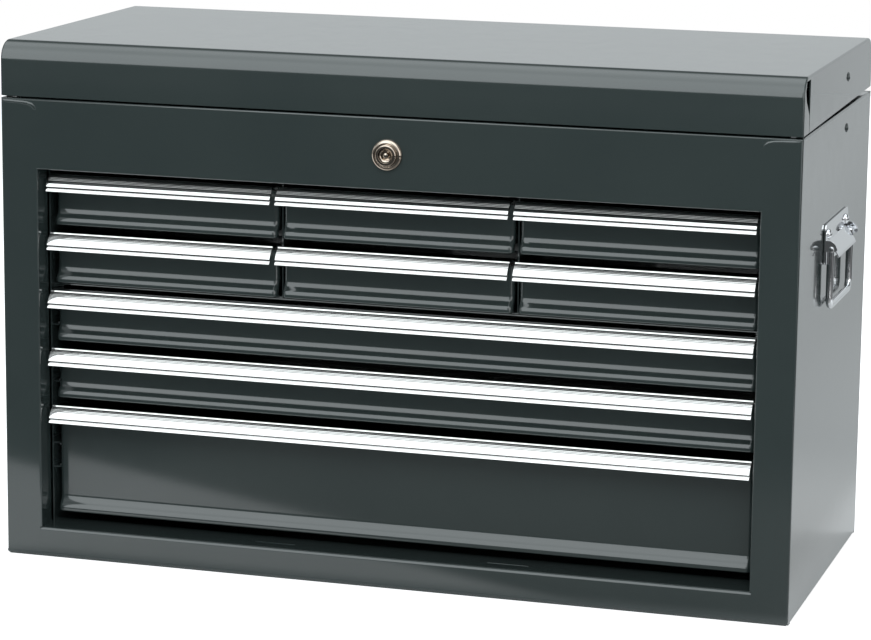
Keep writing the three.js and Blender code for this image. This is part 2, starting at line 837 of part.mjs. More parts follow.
// Handle plate with two ears for the bail, a flared tongue between them and its rivets.
function handlePlate(side) {
  const inner = handlePlateFace
  const outer = inner + plateSheet
  const top = handlePivotHeight + plateTopRise
  const bottom = handlePivotHeight - plateBottomDrop
  const parts = [block(spanOn(side, inner, outer), bothWays(plateHalf), [bottom, top])]
  const pivot = side * (halfWidth + handlePivotReach)
  const earTip = halfWidth + earReach
  const noseRadius = earTip - halfWidth - handlePivotReach
  for (const end of [-1, 1]) {
    const nose = arcPoints(
      [halfWidth + handlePivotReach, handlePivotHeight], noseRadius, -Math.PI / 2, Math.PI / 2, cornerSteps,
    )
    const earFoot = [inner, handlePivotHeight - earHalfHeight]
    const earHead = [inner, handlePivotHeight + earHalfHeight]
    const outline = [earFoot, ...nose, earHead].map(([x, z]) => [side * x, z])
    const near = end * (plateHalf - earSheet)
    const far = end * plateHalf
    parts.push(barAlongY(outline, [Math.min(near, far), Math.max(near, far)]))
    parts.push(turnedAlongX(side, [
      [0, innerHalf - fit - handleRivetHeight / 2],
      [handleShankRadius + plateSheet, innerHalf - fit - handleRivetHeight / 2],
      [handleShankRadius + plateSheet, innerHalf - fit],
      [handleShankRadius, innerHalf - fit],
      [handleShankRadius, outer - plateSheet / 2],
      [handleRivetRadius, outer - plateSheet / 2],
      [handleRivetRadius, outer],
      [handleRivetRadius * 3 / 4, outer + handleRivetHeight * 3 / 4],
      [0, outer + handleRivetHeight],
    ], end * handleRivetOffset, handleRivetLevel))
  }
  const tongue = [
    [inner, handlePivotHeight + tongueRise],
    [outer, handlePivotHeight + tongueRise],
    [halfWidth + tongueReach, handlePivotHeight - tongueDrop],
    [halfWidth + tongueReach - plateSheet, handlePivotHeight - tongueDrop],
    [inner, handlePivotHeight + tongueRise - 2 * plateSheet],
  ].map(([x, z]) => [side * x, z])
  parts.push(barAlongY(tongue, bothWays(tongueHalf)))
  return without(joined(parts), [-1, 1].map((end) => {
    const span = [end * (plateHalf - 2 * earSheet), end * (plateHalf + earSheet)].sort((a, b) => a - b)
    return rodAlongY(bailPinRadius + fit, span, pivot, handlePivotHeight, pinSides)
  }))
}

// Bail: one rod bent into a rectangle whose turned-out ends sit in the ears.
function handleBail(side) {
  const x = side * (halfWidth + handlePivotReach)
  const legY = plateHalf - earSheet - bailEarGap - bailRodRadius
  const low = handlePivotHeight - bailDrop
  const at = (y, z) => new THREE.Vector3(x, y, z)
  const path = new THREE.CurvePath()
  path.add(new THREE.LineCurve3(at(-legY, handlePivotHeight), at(-legY, low + bailCorner)))
  path.add(new THREE.QuadraticBezierCurve3(
    at(-legY, low + bailCorner), at(-legY, low), at(bailCorner - legY, low),
  ))
  path.add(new THREE.LineCurve3(at(bailCorner - legY, low), at(legY - bailCorner, low)))
  path.add(new THREE.QuadraticBezierCurve3(
    at(legY - bailCorner, low), at(legY, low), at(legY, low + bailCorner),
  ))
  path.add(new THREE.LineCurve3(at(legY, low + bailCorner), at(legY, handlePivotHeight)))
  const section = new THREE.Shape(arcPoints([0, 0], bailRodRadius, 0, 2 * Math.PI, rodSides).slice(1)
    .map(([a, b]) => new THREE.Vector2(a, b)))
  const rod = solidFrom(new THREE.ExtrudeGeometry(section, { steps: bailSteps, extrudePath: path }))
  const parts = [rod]
  for (const end of [-1, 1]) {
    const knuckle = new THREE.SphereGeometry(bailRodRadius, rodSides, rodSides / 2)
    knuckle.translate(x, end * legY, handlePivotHeight)
    const tip = end * (plateHalf + bailPinProud)
    parts.push(solidFrom(knuckle))
    parts.push(rodAlongY(
      bailPinRadius, [Math.min(end * legY, tip), Math.max(end * legY, tip)], x, handlePivotHeight, pinSides,
    ))
  }
  return joined(parts)
}

addPiece('front_frame', frontFrame(), paintedSteel)
addPiece('bottom_rail', bottomRail(), paintedSteel)
addPiece('bottom_panel', bottomPanel(), paintedSteel)
addPiece('back_panel', backPanel(), paintedSteel)
addPiece('till_floor', tillFloor(), paintedSteel)
addPiece('mid_shelf', midShelf(), paintedSteel)
addPiece('lid_skin', lidSkin(), paintedSteel)
addPiece('lid_striker', lidStriker(), zincSteel)
addPiece('hinge_body_leaf', hingeLeaf(-1), zincSteel)
addPiece('hinge_lid_leaf', hingeLeaf(1), zincSteel)
addPiece('hinge_pin', hingePin(), zincSteel)
addPiece('lock_housing', lockHousing(), chromePlate)
addPiece('lock_plug', lockPlug(), chromePlate)
addPiece('lock_cam', lockCam(), zincSteel)
addPiece('lock_nut', lockNut(), zincSteel)
for (const { side, word } of sides) {
  addPiece(`side_panel_${word}`, sidePanel(side), paintedSteel)
  addPiece(`inner_side_${word}`, innerSide(side), paintedSteel)
  addPiece(`divider_${word}`, divider(side), paintedSteel)
  addPiece(`lid_end_${word}`, lidEnd(side), paintedSteel)
  addPiece(`stay_lower_${word}`, stayLower(side), zincSteel)
  addPiece(`stay_upper_${word}`, stayUpper(side), zincSteel)
  addPiece(`stay_body_rivet_${word}`, stayBodyRivet(side), zincSteel)
  addPiece(`stay_lid_rivet_${word}`, stayLidRivet(side), zincSteel)
  addPiece(`handle_plate_${word}`, handlePlate(side), chromePlate)
  addPiece(`handle_bail_${word}`, handleBail(side), chromePlate)
}
addDrawers()

export default chest
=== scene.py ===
# %% [markdown]
# A machinist tool chest is folded from thin painted steel: a cabinet with nine
# drawers, and a lid over a till. The imported CAD frame gives the place and size
# of every part. This lesson dresses that frame: each sheet is folded again with
# real bends, the pulls get their extruded section, and every finish is made
# from nodes. It starts by loading the frame.

# %% Load the frame
import json
import math

import bmesh
import bpy
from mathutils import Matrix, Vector

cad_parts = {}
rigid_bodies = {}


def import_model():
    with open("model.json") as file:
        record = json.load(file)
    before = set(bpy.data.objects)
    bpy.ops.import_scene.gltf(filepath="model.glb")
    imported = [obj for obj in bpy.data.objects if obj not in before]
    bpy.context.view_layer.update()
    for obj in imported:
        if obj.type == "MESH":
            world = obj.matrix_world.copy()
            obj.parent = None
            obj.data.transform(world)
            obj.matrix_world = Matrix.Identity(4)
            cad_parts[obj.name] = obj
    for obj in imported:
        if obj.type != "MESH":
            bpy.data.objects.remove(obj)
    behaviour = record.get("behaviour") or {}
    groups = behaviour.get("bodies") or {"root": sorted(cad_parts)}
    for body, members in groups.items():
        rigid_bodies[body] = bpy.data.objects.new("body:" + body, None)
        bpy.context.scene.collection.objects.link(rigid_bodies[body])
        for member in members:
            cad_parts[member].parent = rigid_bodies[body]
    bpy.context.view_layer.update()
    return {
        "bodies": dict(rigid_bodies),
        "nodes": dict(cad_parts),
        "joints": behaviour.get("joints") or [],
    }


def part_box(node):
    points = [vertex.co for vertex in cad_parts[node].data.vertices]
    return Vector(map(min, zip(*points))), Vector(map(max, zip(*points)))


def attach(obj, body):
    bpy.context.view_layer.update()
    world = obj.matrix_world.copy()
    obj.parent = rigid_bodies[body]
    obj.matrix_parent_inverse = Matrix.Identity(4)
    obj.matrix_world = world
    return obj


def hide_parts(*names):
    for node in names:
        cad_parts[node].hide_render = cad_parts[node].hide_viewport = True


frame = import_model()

# %% [markdown]
# The camera stands in front, to the right and a little above, far away with a
# long lens, so the upright edges stay nearly parallel. Place, turn and focal
# length were worked out from the corners of the cabinet.

# %% Camera
MM = 0.001
camera_place = Vector((0.785, -2.609, 0.745))
camera_turn_degrees = (78.529, -0.588, 16.959)
camera_lens_mm = 137.1
camera_sensor_mm = 36.0

bpy.ops.object.camera_add(location=camera_place)
camera = bpy.context.active_object
camera.name = "photo_camera"
camera.rotation_euler = [math.radians(turn) for turn in camera_turn_degrees]
camera.data.lens = camera_lens_mm
camera.data.sensor_width = camera_sensor_mm
bpy.context.scene.camera = camera
bpy.context.scene.view_settings.view_transform = "Standard"
print("camera at", camera_place, "lens", camera_lens_mm)

# %% [markdown]
# Glossy enamel shows its surroundings more than its own colour. A pale studio
# needs no props for that: the world gives plain grey light to rough surfaces,
# pure white to the camera, and to mirror-like surfaces a simple room. In that
# room the wall behind the chest is pale grey with a dim zone above it, the
# ceiling is bright, and the low front is dark. Two large soft lamps add the
# modelling light. A few helpers add nodes and wire them.

# %% Node helpers


def add(tree, kind, feeds=None, **settings):
    """Adds a node; feeds give its inputs plain values or other nodes' outputs."""
    node = tree.nodes.new("ShaderNode" + kind)
    for setting, value in settings.items():
        setattr(node, setting, value)
    for socket, source in (feeds or {}).items():
        if isinstance(source, bpy.types.NodeSocket):
            tree.links.new(source, node.inputs[socket])
        else:
            node.inputs[socket].default_value = source
    return node


def wire(tree, kind, feeds=None, **settings):
    """Adds a node and returns its first live output."""
    return next(output for output in add(tree, kind, feeds, **settings).outputs if output.enabled)


def product(first, *others):
    """Multiplies outputs of one node tree."""
    for other in others:
        first = wire(first.id_data, "Math", {0: first, 1: other}, operation="MULTIPLY")
    return first


def fade(value, start, end):
    """Rises softly from 0 to 1 while the value goes from start to end."""
    feeds = {"From Min": start, "From Max": end, "Value": value}
    return wire(value.id_data, "MapRange", feeds, interpolation_type="SMOOTHSTEP")


def mixed(factor, first, second, **settings):
    feeds = {"Factor": factor, "A": first, "B": second}
    return wire(factor.id_data, "Mix", feeds, data_type="RGBA", **settings)


def grey(level):
    return (level, level, level, 1.0)


def cool(level):
    """A grey with the faint blue-green cast of the studio's daylight."""
    return (0.925 * level, 0.98 * level, level, 1.0)


print("node helpers ready")

# %% World
world = bpy.data.worlds.new("pale_studio")
bpy.context.scene.world = world
world.use_nodes = True
world_tree = world.node_tree
world_tree.nodes.clear()


def ramp(value, stops):
    """Grey levels along a value that runs from -1 to 1, from (position, level) stops at 0 to 1."""
    span = wire(world_tree, "MapRange", {"From Min": -1.0, "Value": value})
    node = add(world_tree, "ValToRGB", {"Fac": span})
    elements = node.color_ramp.elements
    while len(elements) > 1:
        elements.remove(elements[-1])
    elements[0].position = stops[0][0]
    elements[0].color = cool(stops[0][1])
    for position, level in stops[1:]:
        elements.new(position).color = cool(level)
    return node.outputs["Color"]


direction = add(world_tree, "TexCoord").outputs["Generated"]
axes = add(world_tree, "SeparateXYZ", {"Vector": direction}).outputs

# Stops run from straight down (0) over the horizon (0.5) to straight up (1).
front = ramp(axes["Z"], [(0.0, 0.12), (0.525, 0.12), (0.56, 2.3), (0.92, 2.3), (1.0, 2.1)])
low_front = ramp(axes["Z"], [(0.0, 0.12), (0.525, 0.12), (0.56, 0.60), (0.70, 0.60), (0.80, 2.3), (1.0, 2.1)])
back = ramp(axes["Z"], [
    (0.0, 0.55), (0.5, 0.55), (0.52, 0.60), (0.645, 0.60), (0.70, 0.12), (0.85, 0.12), (0.92, 1.3), (1.0, 2.1)])

# The front is bright down to the horizon only in one upright band; elsewhere it
# is pale grey low down, so the lid's top stays grey when it is seen from behind.
bright_band = ramp(axes["X"], [(0.0, 0.0), (0.22, 0.0), (0.25, 1.05), (0.425, 1.05), (0.455, 0.0)])
room = mixed(fade(axes["Y"], -0.55, -0.05), mixed(bright_band, low_front, front), back)

# A tall pale window at the front right gives round metal its bright upright lines.
window_stops = {
    "Y": [(0.0, 0.0), (0.10, 0.0), (0.14, 1.0), (0.33, 1.0), (0.38, 0.0)],
    "X": [(0.0, 0.0), (0.74, 0.0), (0.80, 1.0)],
    "Z": [(0.0, 0.0), (0.34, 0.0), (0.40, 1.0), (0.70, 1.0), (0.80, 0.0)],
}
window_level = 1.9
window = product(*(ramp(axes[axis_name], stops) for axis_name, stops in window_stops.items()))
room_with_window = mixed(window, room, grey(window_level))

# Rough surfaces get the plain light; each kind of ray below sees its own instead.
plain_level = 0.62
ray = add(world_tree, "LightPath").outputs
seen_light = wire(world_tree, "Background", {"Color": grey(plain_level)})
for kind, colour in (("Glossy", room_with_window), ("Transmission", grey(1.0)), ("Camera", grey(1.0))):
    own_light = wire(world_tree, "Background", {"Color": colour})
    seen_light = wire(world_tree, "MixShader", {"Fac": ray[f"Is {kind} Ray"], 1: seen_light, 2: own_light})
add(world_tree, "OutputWorld", {"Surface": seen_light})
print("world nodes:", len(world_tree.nodes))

# %% Soft lamps


def soft_lamp(name, place, size, power):
    """A large square lamp that points at the middle of the chest."""
    bpy.ops.object.light_add(type="AREA", location=place)
    lamp = bpy.context.active_object
    lamp.name = name
    lamp.rotation_euler = (chest_middle - Vector(place)).to_track_quat("-Z", "Y").to_euler()
    lamp.data.size = size
    lamp.data.energy = power
    lamp.visible_camera = False
    lamp.visible_glossy = False
    return lamp


chest_middle = Vector((0.0, 0.0, 0.2))
overhead_lamp = soft_lamp("overhead_lamp", (-0.5, 0.3, 2.0), 1.6, 17.0)
front_lamp = soft_lamp("front_lamp", (0.5, -2.0, 2.0), 1.4, 24.0)
print("lamps:", overhead_lamp.name, front_lamp.name)

# %% [markdown]
# The floor is a plain white sweep. The camera sees it as white, while the
# chest's own shadow stays on it. Polished paint mirrors the floor, and the room
# is dim in places, so the mirrored floor has dim zones; beside the chest it is a
# little darker too. In other zones the floor glows for mirrors only: that glow is
# painted light, which brightens the reflections in the paint and gives the
# chrome rods a bright upright highlight. Each zone is a product of soft fades
# along the floor's axes, and shows in mirrors only.

# %% Floor
floor_size = 6.0
floor_drop = 0.0004

bpy.ops.mesh.primitive_grid_add(x_subdivisions=2, y_subdivisions=2, size=floor_size, location=(0, 0, -floor_drop))
floor = bpy.context.active_object
floor.name = "studio_floor"
floor_finish = bpy.data.materials.new("floor_white")
floor_finish.use_nodes = True
floor_tree = floor_finish.node_tree
floor_tree.nodes.clear()


def weighted_sum(*terms):
    """The sum of (share, value) terms."""
    total = 0.0
    for share, value in terms:
        total = wire(floor_tree, "Math", {0: value, 1: share, 2: total}, operation="MULTIPLY_ADD")
    return total


floor_place = add(floor_tree, "TexCoord").outputs["Object"]
floor_x, floor_y = add(floor_tree, "SeparateXYZ", {"Vector": floor_place}).outputs[:2]
floor_ray = add(floor_tree, "LightPath").outputs
before_chest = fade(floor_y, -0.155, -0.19)

# The pale part of the floor ends along a slanted line in front of the chest.
across_line = (-0.474, 1.0, 0.0)
slant = wire(floor_tree, "VectorMath", {0: floor_place, 1: across_line}, operation="DOT_PRODUCT")
beyond_line = product(fade(slant, -0.21, -0.25), before_chest)
beside_chest = product(fade(floor_x, 0.33, 0.372), fade(floor_x, 0.80, 0.50))
far_right = fade(floor_x, 0.90, 1.05)
dim_share = weighted_sum((1.0, beyond_line), (0.34, beside_chest), (1.0, far_right))
mirrored_dim = product(dim_share, floor_ray["Is Glossy Ray"])

# Painted light: in these zones the floor glows for mirrors only, in front of the chest, along its side and before the
# drawers.
before_line = product(fade(slant, -0.25, -0.21), before_chest)
side_lift = product(fade(floor_x, 0.28, 0.36), fade(floor_y, 0.5, 0.15), fade(floor_y, -0.40, -0.20))
drawer_lift = product(fade(floor_y, -0.75, -0.45), before_chest, fade(floor_x, -0.45, -0.25))
# A small patch of painted light glows in mirrors only and gives the chrome rods their bright upright highlight.
painted_glow_patch = product(
    fade(floor_x, 0.86, 0.90), fade(floor_x, 1.12, 1.08), fade(floor_y, -0.52, -0.60), fade(floor_y, -1.20, -1.10))
lift_share = weighted_sum((0.36, before_line), (0.18, side_lift), (0.2, drawer_lift), (2.6, painted_glow_patch))
mirrored_lift = product(lift_share, floor_ray["Is Glossy Ray"])

floor_level, dim_level, lift_level = 0.82, 0.065, 0.75
floor_colour = mixed(mirrored_dim, cool(floor_level), cool(dim_level), clamp_factor=True)
floor_paint = wire(floor_tree, "BsdfDiffuse", {"Color": floor_colour})
glow = weighted_sum((1.0, floor_ray["Is Camera Ray"]), (1.0, mirrored_lift))
floor_glow = wire(floor_tree, "Emission", {"Color": grey(lift_level), "Strength": glow})
floor_surface = wire(floor_tree, "AddShader", {0: floor_paint, 1: floor_glow})
add(floor_tree, "OutputMaterial", {"Surface": floor_surface})
floor.data.materials.append(floor_finish)
print("floor", floor_size, "m")

# %% [markdown]
# Five finishes cover the chest. A finish is more than a colour: enamel has a
# faint orange-peel skin and a clear coat, drawn aluminium has lines along its
# length, chrome and nickel have small flaws, and zinc plate has a crystal
# pattern. One helper makes a shader and its texture coordinates, and keeps the
# material slot it stands for. Object coordinates keep patterns at real scale.

# %% Finish helpers


class Finish:
    """A material with one surface shader, and short calls for the nodes that feed it."""

    def __init__(self, name, slot, colour, metallic, roughness):
        self.slot = slot
        self.material = bpy.data.materials.new(name)
        self.material.use_nodes = True
        self.tree = self.material.node_tree
        self.surface = self.tree.nodes["Principled BSDF"]
        self.place = add(self.tree, "TexCoord").outputs["Object"]
        self.set(Base_Color=(*colour, 1.0), Metallic=metallic, Roughness=roughness)

    def set(self, **sockets):
        for socket, value in sockets.items():
            self.surface.inputs[socket.replace("_", " ")].default_value = value

    def noise(self, scale, detail, stretch=(1.0, 1.0, 1.0)):
        """Noise in metres, scaled by stretch along X, Y and Z."""
        place = wire(self.tree, "Mapping", {"Scale": stretch, "Vector": self.place})
        return wire(self.tree, "TexNoise", {"Scale": scale, "Detail": detail, "Vector": place})

    def cells(self, scale):
        return add(self.tree, "TexVoronoi", {"Scale": scale, "Vector": self.place}).outputs["Color"]

    def between(self, factor, low, high, low_level=0.35, high_level=0.65):
        """A number that follows the factor from low to high."""
        ends = {"From Min": low_level, "From Max": high_level, "To Min": low, "To Max": high}
        return wire(self.tree, "MapRange", {"Value": factor, **ends})

    def tone(self, factor, colour_a, colour_b):
        """A colour that follows the factor."""
        self.feed("Base Color", mixed(factor, (*colour_a, 1.0), (*colour_b, 1.0)))

    def gloss(self, factor, *range_and_levels):
        """A roughness that follows the factor."""
        self.feed("Roughness", self.between(factor, *range_and_levels))

    def bump(self, height_field, depth, **below):
        """Relief of a depth in metres, on top of another node's Normal if one is given."""
        return wire(self.tree, "Bump", {"Distance": depth, "Height": height_field, **below})

    def feed(self, socket, output):
        self.tree.links.new(output, self.surface.inputs[socket])


print("finish helper ready")

# %% Enamel
# Sprayed and baked enamel has two close tones, orange peel and a clear coat.
enamel_deep = (0.0300, 0.0425, 0.0425)
enamel_light = (0.0335, 0.0465, 0.0460)

enamel = Finish("green_grey_enamel", "painted_steel", enamel_deep, 0.0, 0.14)
enamel.set(IOR=1.5, Coat_Weight=0.9, Coat_Roughness=0.03, Coat_IOR=1.5)
tones = enamel.between(enamel.noise(9.0, 4.0), 0.0, 1.0)
enamel.tone(tones, enamel_deep, enamel_light)
enamel.gloss(enamel.noise(60.0, 5.0), 0.125, 0.155)
peel = enamel.bump(enamel.noise(330.0, 2.0), 0.00001)
waves = enamel.bump(enamel.noise(11.0, 1.0), 0.00003, Normal=peel)
enamel.feed("Normal", waves)
enamel.feed("Coat Normal", waves)
print("enamel", enamel.material.name)

# %% Metals
# Bright extruded aluminium has faint die lines along X.
aluminium = Finish("drawn_aluminium", "aluminium_trim", (0.66, 0.66, 0.655), 1.0, 0.14)
die_lines = aluminium.noise(900.0, 2.0, stretch=(0.012, 1.0, 1.0))
aluminium.gloss(die_lines, 0.05, 0.09)
aluminium.tone(die_lines, (0.60, 0.60, 0.595), (0.72, 0.72, 0.71))
aluminium.feed("Normal", aluminium.bump(die_lines, 0.00001))

# Bright chrome plating has a few cloudy patches and fine polishing marks.
chrome = Finish("bright_chrome", "chrome", (0.86, 0.87, 0.89), 1.0, 0.08)
chrome.gloss(chrome.noise(60.0, 5.0), 0.03, 0.08)
chrome.feed("Normal", chrome.bump(chrome.noise(700.0, 2.0, stretch=(1.0, 0.1, 1.0)), 0.00001))

# The lock's nickel is warm and a little uneven in tone.
nickel = Finish("warm_nickel", "chrome", (0.60, 0.52, 0.45), 1.0, 0.08)
patches = nickel.noise(160.0, 4.0)
nickel.tone(patches, (0.50, 0.41, 0.33), (0.66, 0.58, 0.50))
nickel.gloss(patches, 0.04, 0.09)

# Zinc plate on slides, stays and hinge is bluish, with soft crystal patches.
zinc = Finish("zinc_plate", "zinc_steel", (0.62, 0.64, 0.67), 1.0, 0.3)
zinc.tone(zinc.noise(45.0, 4.0), (0.52, 0.55, 0.60), (0.70, 0.71, 0.72))
zinc.gloss(zinc.cells(190.0), 0.24, 0.40, 0.0, 1.0)
zinc.feed("Normal", zinc.bump(zinc.noise(420.0, 3.0), 0.00002))
print("metals:", *(metal.material.name for metal in (aluminium, chrome, nickel, zinc)))

# %% [markdown]
# Pieces are modelled with the operators a modeller would use. A few
# helpers keep that short: one picks vertices, edges or faces by their place, one
# draws a section as a chain of extruded points, and the others thicken a folded
# sheet, round its cut edges and smooth its shading.

# %% Selecting and editing
near_enough = 0.00002


def alone(piece):
    """Selects one object and makes it active."""
    bpy.ops.object.select_all(action="DESELECT")
    piece.select_set(True)
    bpy.context.view_layer.objects.active = piece


def settle():
    """Applies the active object's place, turn and scale to its mesh."""
    bpy.ops.object.transform_apply(location=True, rotation=True, scale=True)


def start_edit(piece):
    """Opens a piece for editing, with all of it selected."""
    alone(piece)
    bpy.ops.object.mode_set(mode="EDIT")
    bpy.ops.mesh.select_all(action="SELECT")


def end_edit():
    bpy.ops.object.mode_set(mode="OBJECT")


def edit(piece, operator, kind=None, test=None, **settings):
    """Runs an operator in edit mode, on the picked parts of a piece or on all of it."""
    start_edit(piece)
    if kind:
        pick(piece, kind, test)
    operator(**settings)
    end_edit()


def pick(piece, kind, test):
    """Selects in edit mode the vertices, edges or faces that pass the test."""
    bpy.ops.mesh.select_mode(type=kind)
    bpy.ops.mesh.select_all(action="DESELECT")
    shape = bmesh.from_edit_mesh(piece.data)
    for part in {"VERT": shape.verts, "EDGE": shape.edges, "FACE": shape.faces}[kind]:
        if test(part):
            part.select_set(True)
    shape.select_flush_mode()
    bmesh.update_edit_mesh(piece.data)


def corners(part):
    return [part.co] if isinstance(part, bmesh.types.BMVert) else [vert.co for vert in part.verts]


def on_plane(axis, value):
    """A test for parts that lie on a plane across the axis (0, 1 or 2)."""
    return lambda part: all(abs(corner[axis] - value) < near_enough for corner in corners(part))


def both(*tests):
    return lambda part: all(test(part) for test in tests)


def either(*tests):
    return lambda part: any(test(part) for test in tests)


def push(x=0.0, y=0.0, z=0.0):
    """Extrudes what is selected by a distance in metres."""
    bpy.ops.mesh.extrude_region_move(TRANSFORM_OT_translate={"value": (x, y, z)})


def face_outward(piece):
    edit(piece, bpy.ops.mesh.normals_make_consistent, inside=False)


print("editing helpers ready")

# %% Drawing pieces


def chain(name, points):
    """A chain of edges through the points, drawn from one vertex by extruding it."""
    bpy.ops.mesh.primitive_plane_add(size=1.0, location=points[0])
    piece = bpy.context.active_object
    piece.name = name
    settle()
    start_edit(piece)
    bpy.ops.mesh.select_mode(type="VERT")
    bpy.ops.mesh.merge(type="CENTER")
    for before, after in zip(points, points[1:]):
        step = Vector(after) - Vector(before)
        bpy.ops.mesh.extrude_vertices_move(TRANSFORM_OT_translate={"value": step})
    end_edit()
    return piece


def swept_sheet(name, points, sweep):
    """A thin surface: an open section through the points, swept along a vector."""
    piece = chain(name, points)
    edit(piece, lambda: push(*sweep))
    return piece


def swept_solid(name, points, sweep):
    """A closed section through the points, filled and swept along a vector."""
    piece = chain(name, points)
    start_edit(piece)
    ends = (Vector(points[0]), Vector(points[-1]))
    pick(piece, "VERT", lambda vert: any((vert.co - end).length < near_enough / 10 for end in ends))
    bpy.ops.mesh.edge_face_add()
    bpy.ops.mesh.select_all(action="SELECT")
    bpy.ops.mesh.edge_face_add()
    push(*sweep)
    end_edit()
    face_outward(piece)
    return piece


def flat_face(name, corners_list):
    """One flat face through the corners: the blank of a folded sheet."""
    piece = chain(name, corners_list)
    edit(piece, bpy.ops.mesh.edge_face_add)
    return piece


def turned(name, profile, centre, steps=48):
    """A turned part: (radius, y) points swept once round the Y axis through the centre."""
    piece = chain(name, [(centre[0] + radius, y, centre[1]) for radius, y in profile])
    start_edit(piece)
    bpy.ops.mesh.spin(steps=steps, angle=math.tau, center=(centre[0], 0.0, centre[1]), axis=(0.0, 1.0, 0.0))
    bpy.ops.mesh.select_all(action="SELECT")
    bpy.ops.mesh.remove_doubles(threshold=0.000005)
    bpy.ops.mesh.normals_make_consistent(inside=False)
    end_edit()
    return piece


def block(name, low, high):
    """A plain box between two corners."""
    low, high = Vector(low), Vector(high)
    bpy.ops.mesh.primitive_cube_add(size=1.0, location=(low + high) / 2, scale=high - low)
    piece = bpy.context.active_object
    piece.name = name
    settle()
    return piece


def rounded(points, steps=5):
    """Turns (u, v, radius) corners into (u, v) points, with each inner corner an arc."""
    path = [points[0][:2]]
    for before, here, after in zip(points, points[1:], points[2:]):
        corner, radius = Vector(here[:2]), here[2]
        back = (Vector(before[:2]) - corner).normalized()
        ahead = (Vector(after[:2]) - corner).normalized()
        half = back.angle(ahead) / 2
        centre = corner + (back + ahead).normalized() * radius / math.sin(half)
        reach = radius / math.tan(half)
        first = corner + back * reach - centre
        last = corner + ahead * reach - centre
        start = math.atan2(first.y, first.x)
        turn = math.remainder(math.atan2(last.y, last.x) - start, math.tau)
        count = steps if radius else 0
        for step in range(count + 1):
            angle = start + turn * step / max(count, 1)
            path.append((centre.x + radius * math.cos(angle), centre.y + radius * math.sin(angle)))
    path.append(points[-1][:2])
    return path


print("drawing helpers ready")

# %% Shaping and dressing pieces


def add_modifier(piece, kind, **settings):
    modifier = piece.modifiers.new(kind.title(), kind)
    for setting, value in settings.items():
        setattr(modifier, setting, value)
    return modifier


def use_modifier(piece, kind, **settings):
    """Adds a modifier and applies it."""
    alone(piece)
    bpy.ops.object.modifier_apply(modifier=add_modifier(piece, kind, **settings).name)


def soften(piece, width_mm, segments=2, angle_degrees=40.0):
    use_modifier(piece, "BEVEL", width=width_mm * MM, segments=segments, limit_method="ANGLE",
                 angle_limit=math.radians(angle_degrees), use_clamp_overlap=True)


def smooth(piece, angle_degrees=35.0):
    """Smooth shading that rounds only the bends."""
    alone(piece)
    bpy.ops.object.shade_smooth_by_angle(angle=math.radians(angle_degrees))
    use_modifier(piece, "WEIGHTED_NORMAL", keep_sharp=True)


def cut_away(piece, cutter):
    """Cuts the cutter's volume out of the piece and removes the cutter."""
    use_modifier(piece, "BOOLEAN", operation="DIFFERENCE", object=cutter, solver="EXACT")
    bpy.data.objects.remove(cutter)


def thicken(piece, outward, thickness, even=True):
    """Turns a sheet's largest face to look along outward, and gives the sheet its gauge behind it."""
    face_outward(piece)
    largest = max(piece.data.polygons, key=lambda face: face.area)
    if largest.normal.dot(Vector(outward)) < 0:
        edit(piece, bpy.ops.mesh.flip_normals)
    use_modifier(piece, "SOLIDIFY", thickness=thickness, offset=-1.0, use_even_offset=even)


def trim_edges(piece):
    """Rounds the cut edges of a sheet a little and smooths its shading."""
    soften(piece, 0.22, 2, 60.0)
    smooth(piece)


def joined(name, pieces):
    """Joins pieces into the first one and names it."""
    alone(pieces[0])
    for piece in pieces:
        piece.select_set(True)
    bpy.ops.object.join()
    pieces[0].name = name
    return pieces[0]


def copied(piece, name, offset=(0.0, 0.0, 0.0), scale=(1.0, 1.0, 1.0)):
    """A copy with its own mesh, moved by an offset in metres."""
    alone(piece)
    bpy.ops.object.duplicate(linked=False)
    copy = bpy.context.active_object
    copy.name = name
    copy.location = offset
    copy.scale = scale
    settle()
    return copy


def mirrored(piece, name):
    """A copy mirrored to the other side of the chest, with its faces turned out again."""
    copy = copied(piece, name, scale=(-1.0, 1.0, 1.0))
    face_outward(copy)
    smooth(copy)
    return copy


def turned_to_x(piece, centre, scale=(1.0, 1.0, 1.0)):
    """Turns a part that was spun round Y to look along X, and moves it to its centre."""
    alone(piece)
    piece.rotation_euler = (0.0, 0.0, math.pi / 2)
    piece.scale = scale
    piece.location = centre
    settle()
    return piece


def fold(piece, test, **distance):
    """Extrudes the picked edges of a sheet, which makes a flange."""
    edit(piece, push, "EDGE", test, **distance)


def round_edges(piece, test, radius, steps=4):
    """Bevels the picked edges into bends of the given radius."""
    edit(piece, bpy.ops.mesh.bevel, "EDGE", test, offset=radius, segments=steps, affect="EDGES", clamp_overlap=False)


def dress(piece, body, finish, *nodes):
    """Gives a finished piece its finish, its body and the nodes it stands for."""
    piece.data.materials.clear()
    piece.data.materials.append(finish.material)
    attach(piece, body)
    if nodes:
        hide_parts(*nodes)
    print(piece.name, len(piece.data.polygons), "faces")


def dress_pair(right, body, finish, node_name):
    """Mirrors a right-hand piece to the left, and dresses both sides."""
    left = mirrored(right, right.name.replace("right", "left"))
    dress(right, body, finish, node_name + "_right")
    dress(left, body.replace("right", "left"), finish, node_name + "_left")


masters = {}


def once(name, low, high, make):
    """Makes a piece the first time its size comes up, and copies it for every later one."""
    key = (make, *(round(extent, 3) for extent in high - low))
    if key in masters:
        master, corner = masters[key]
        return copied(master, name, low - corner)
    piece = make(name, low, high)
    masters[key] = (piece, low)
    return piece


print("shaping helpers ready")

# %% [markdown]
# The front is one sheet round the drawer opening, an upside-down U. Its inner
# edges turn back as jambs, its outer edges turn round the corners of the
# cabinet and its top edge turns back as a rim. A flat face is drawn first, each
# edge is extruded to its fold, and the fold lines are bevelled into bends.
# Solidify then gives the sheet its gauge, and a small bevel rounds the cut edges.

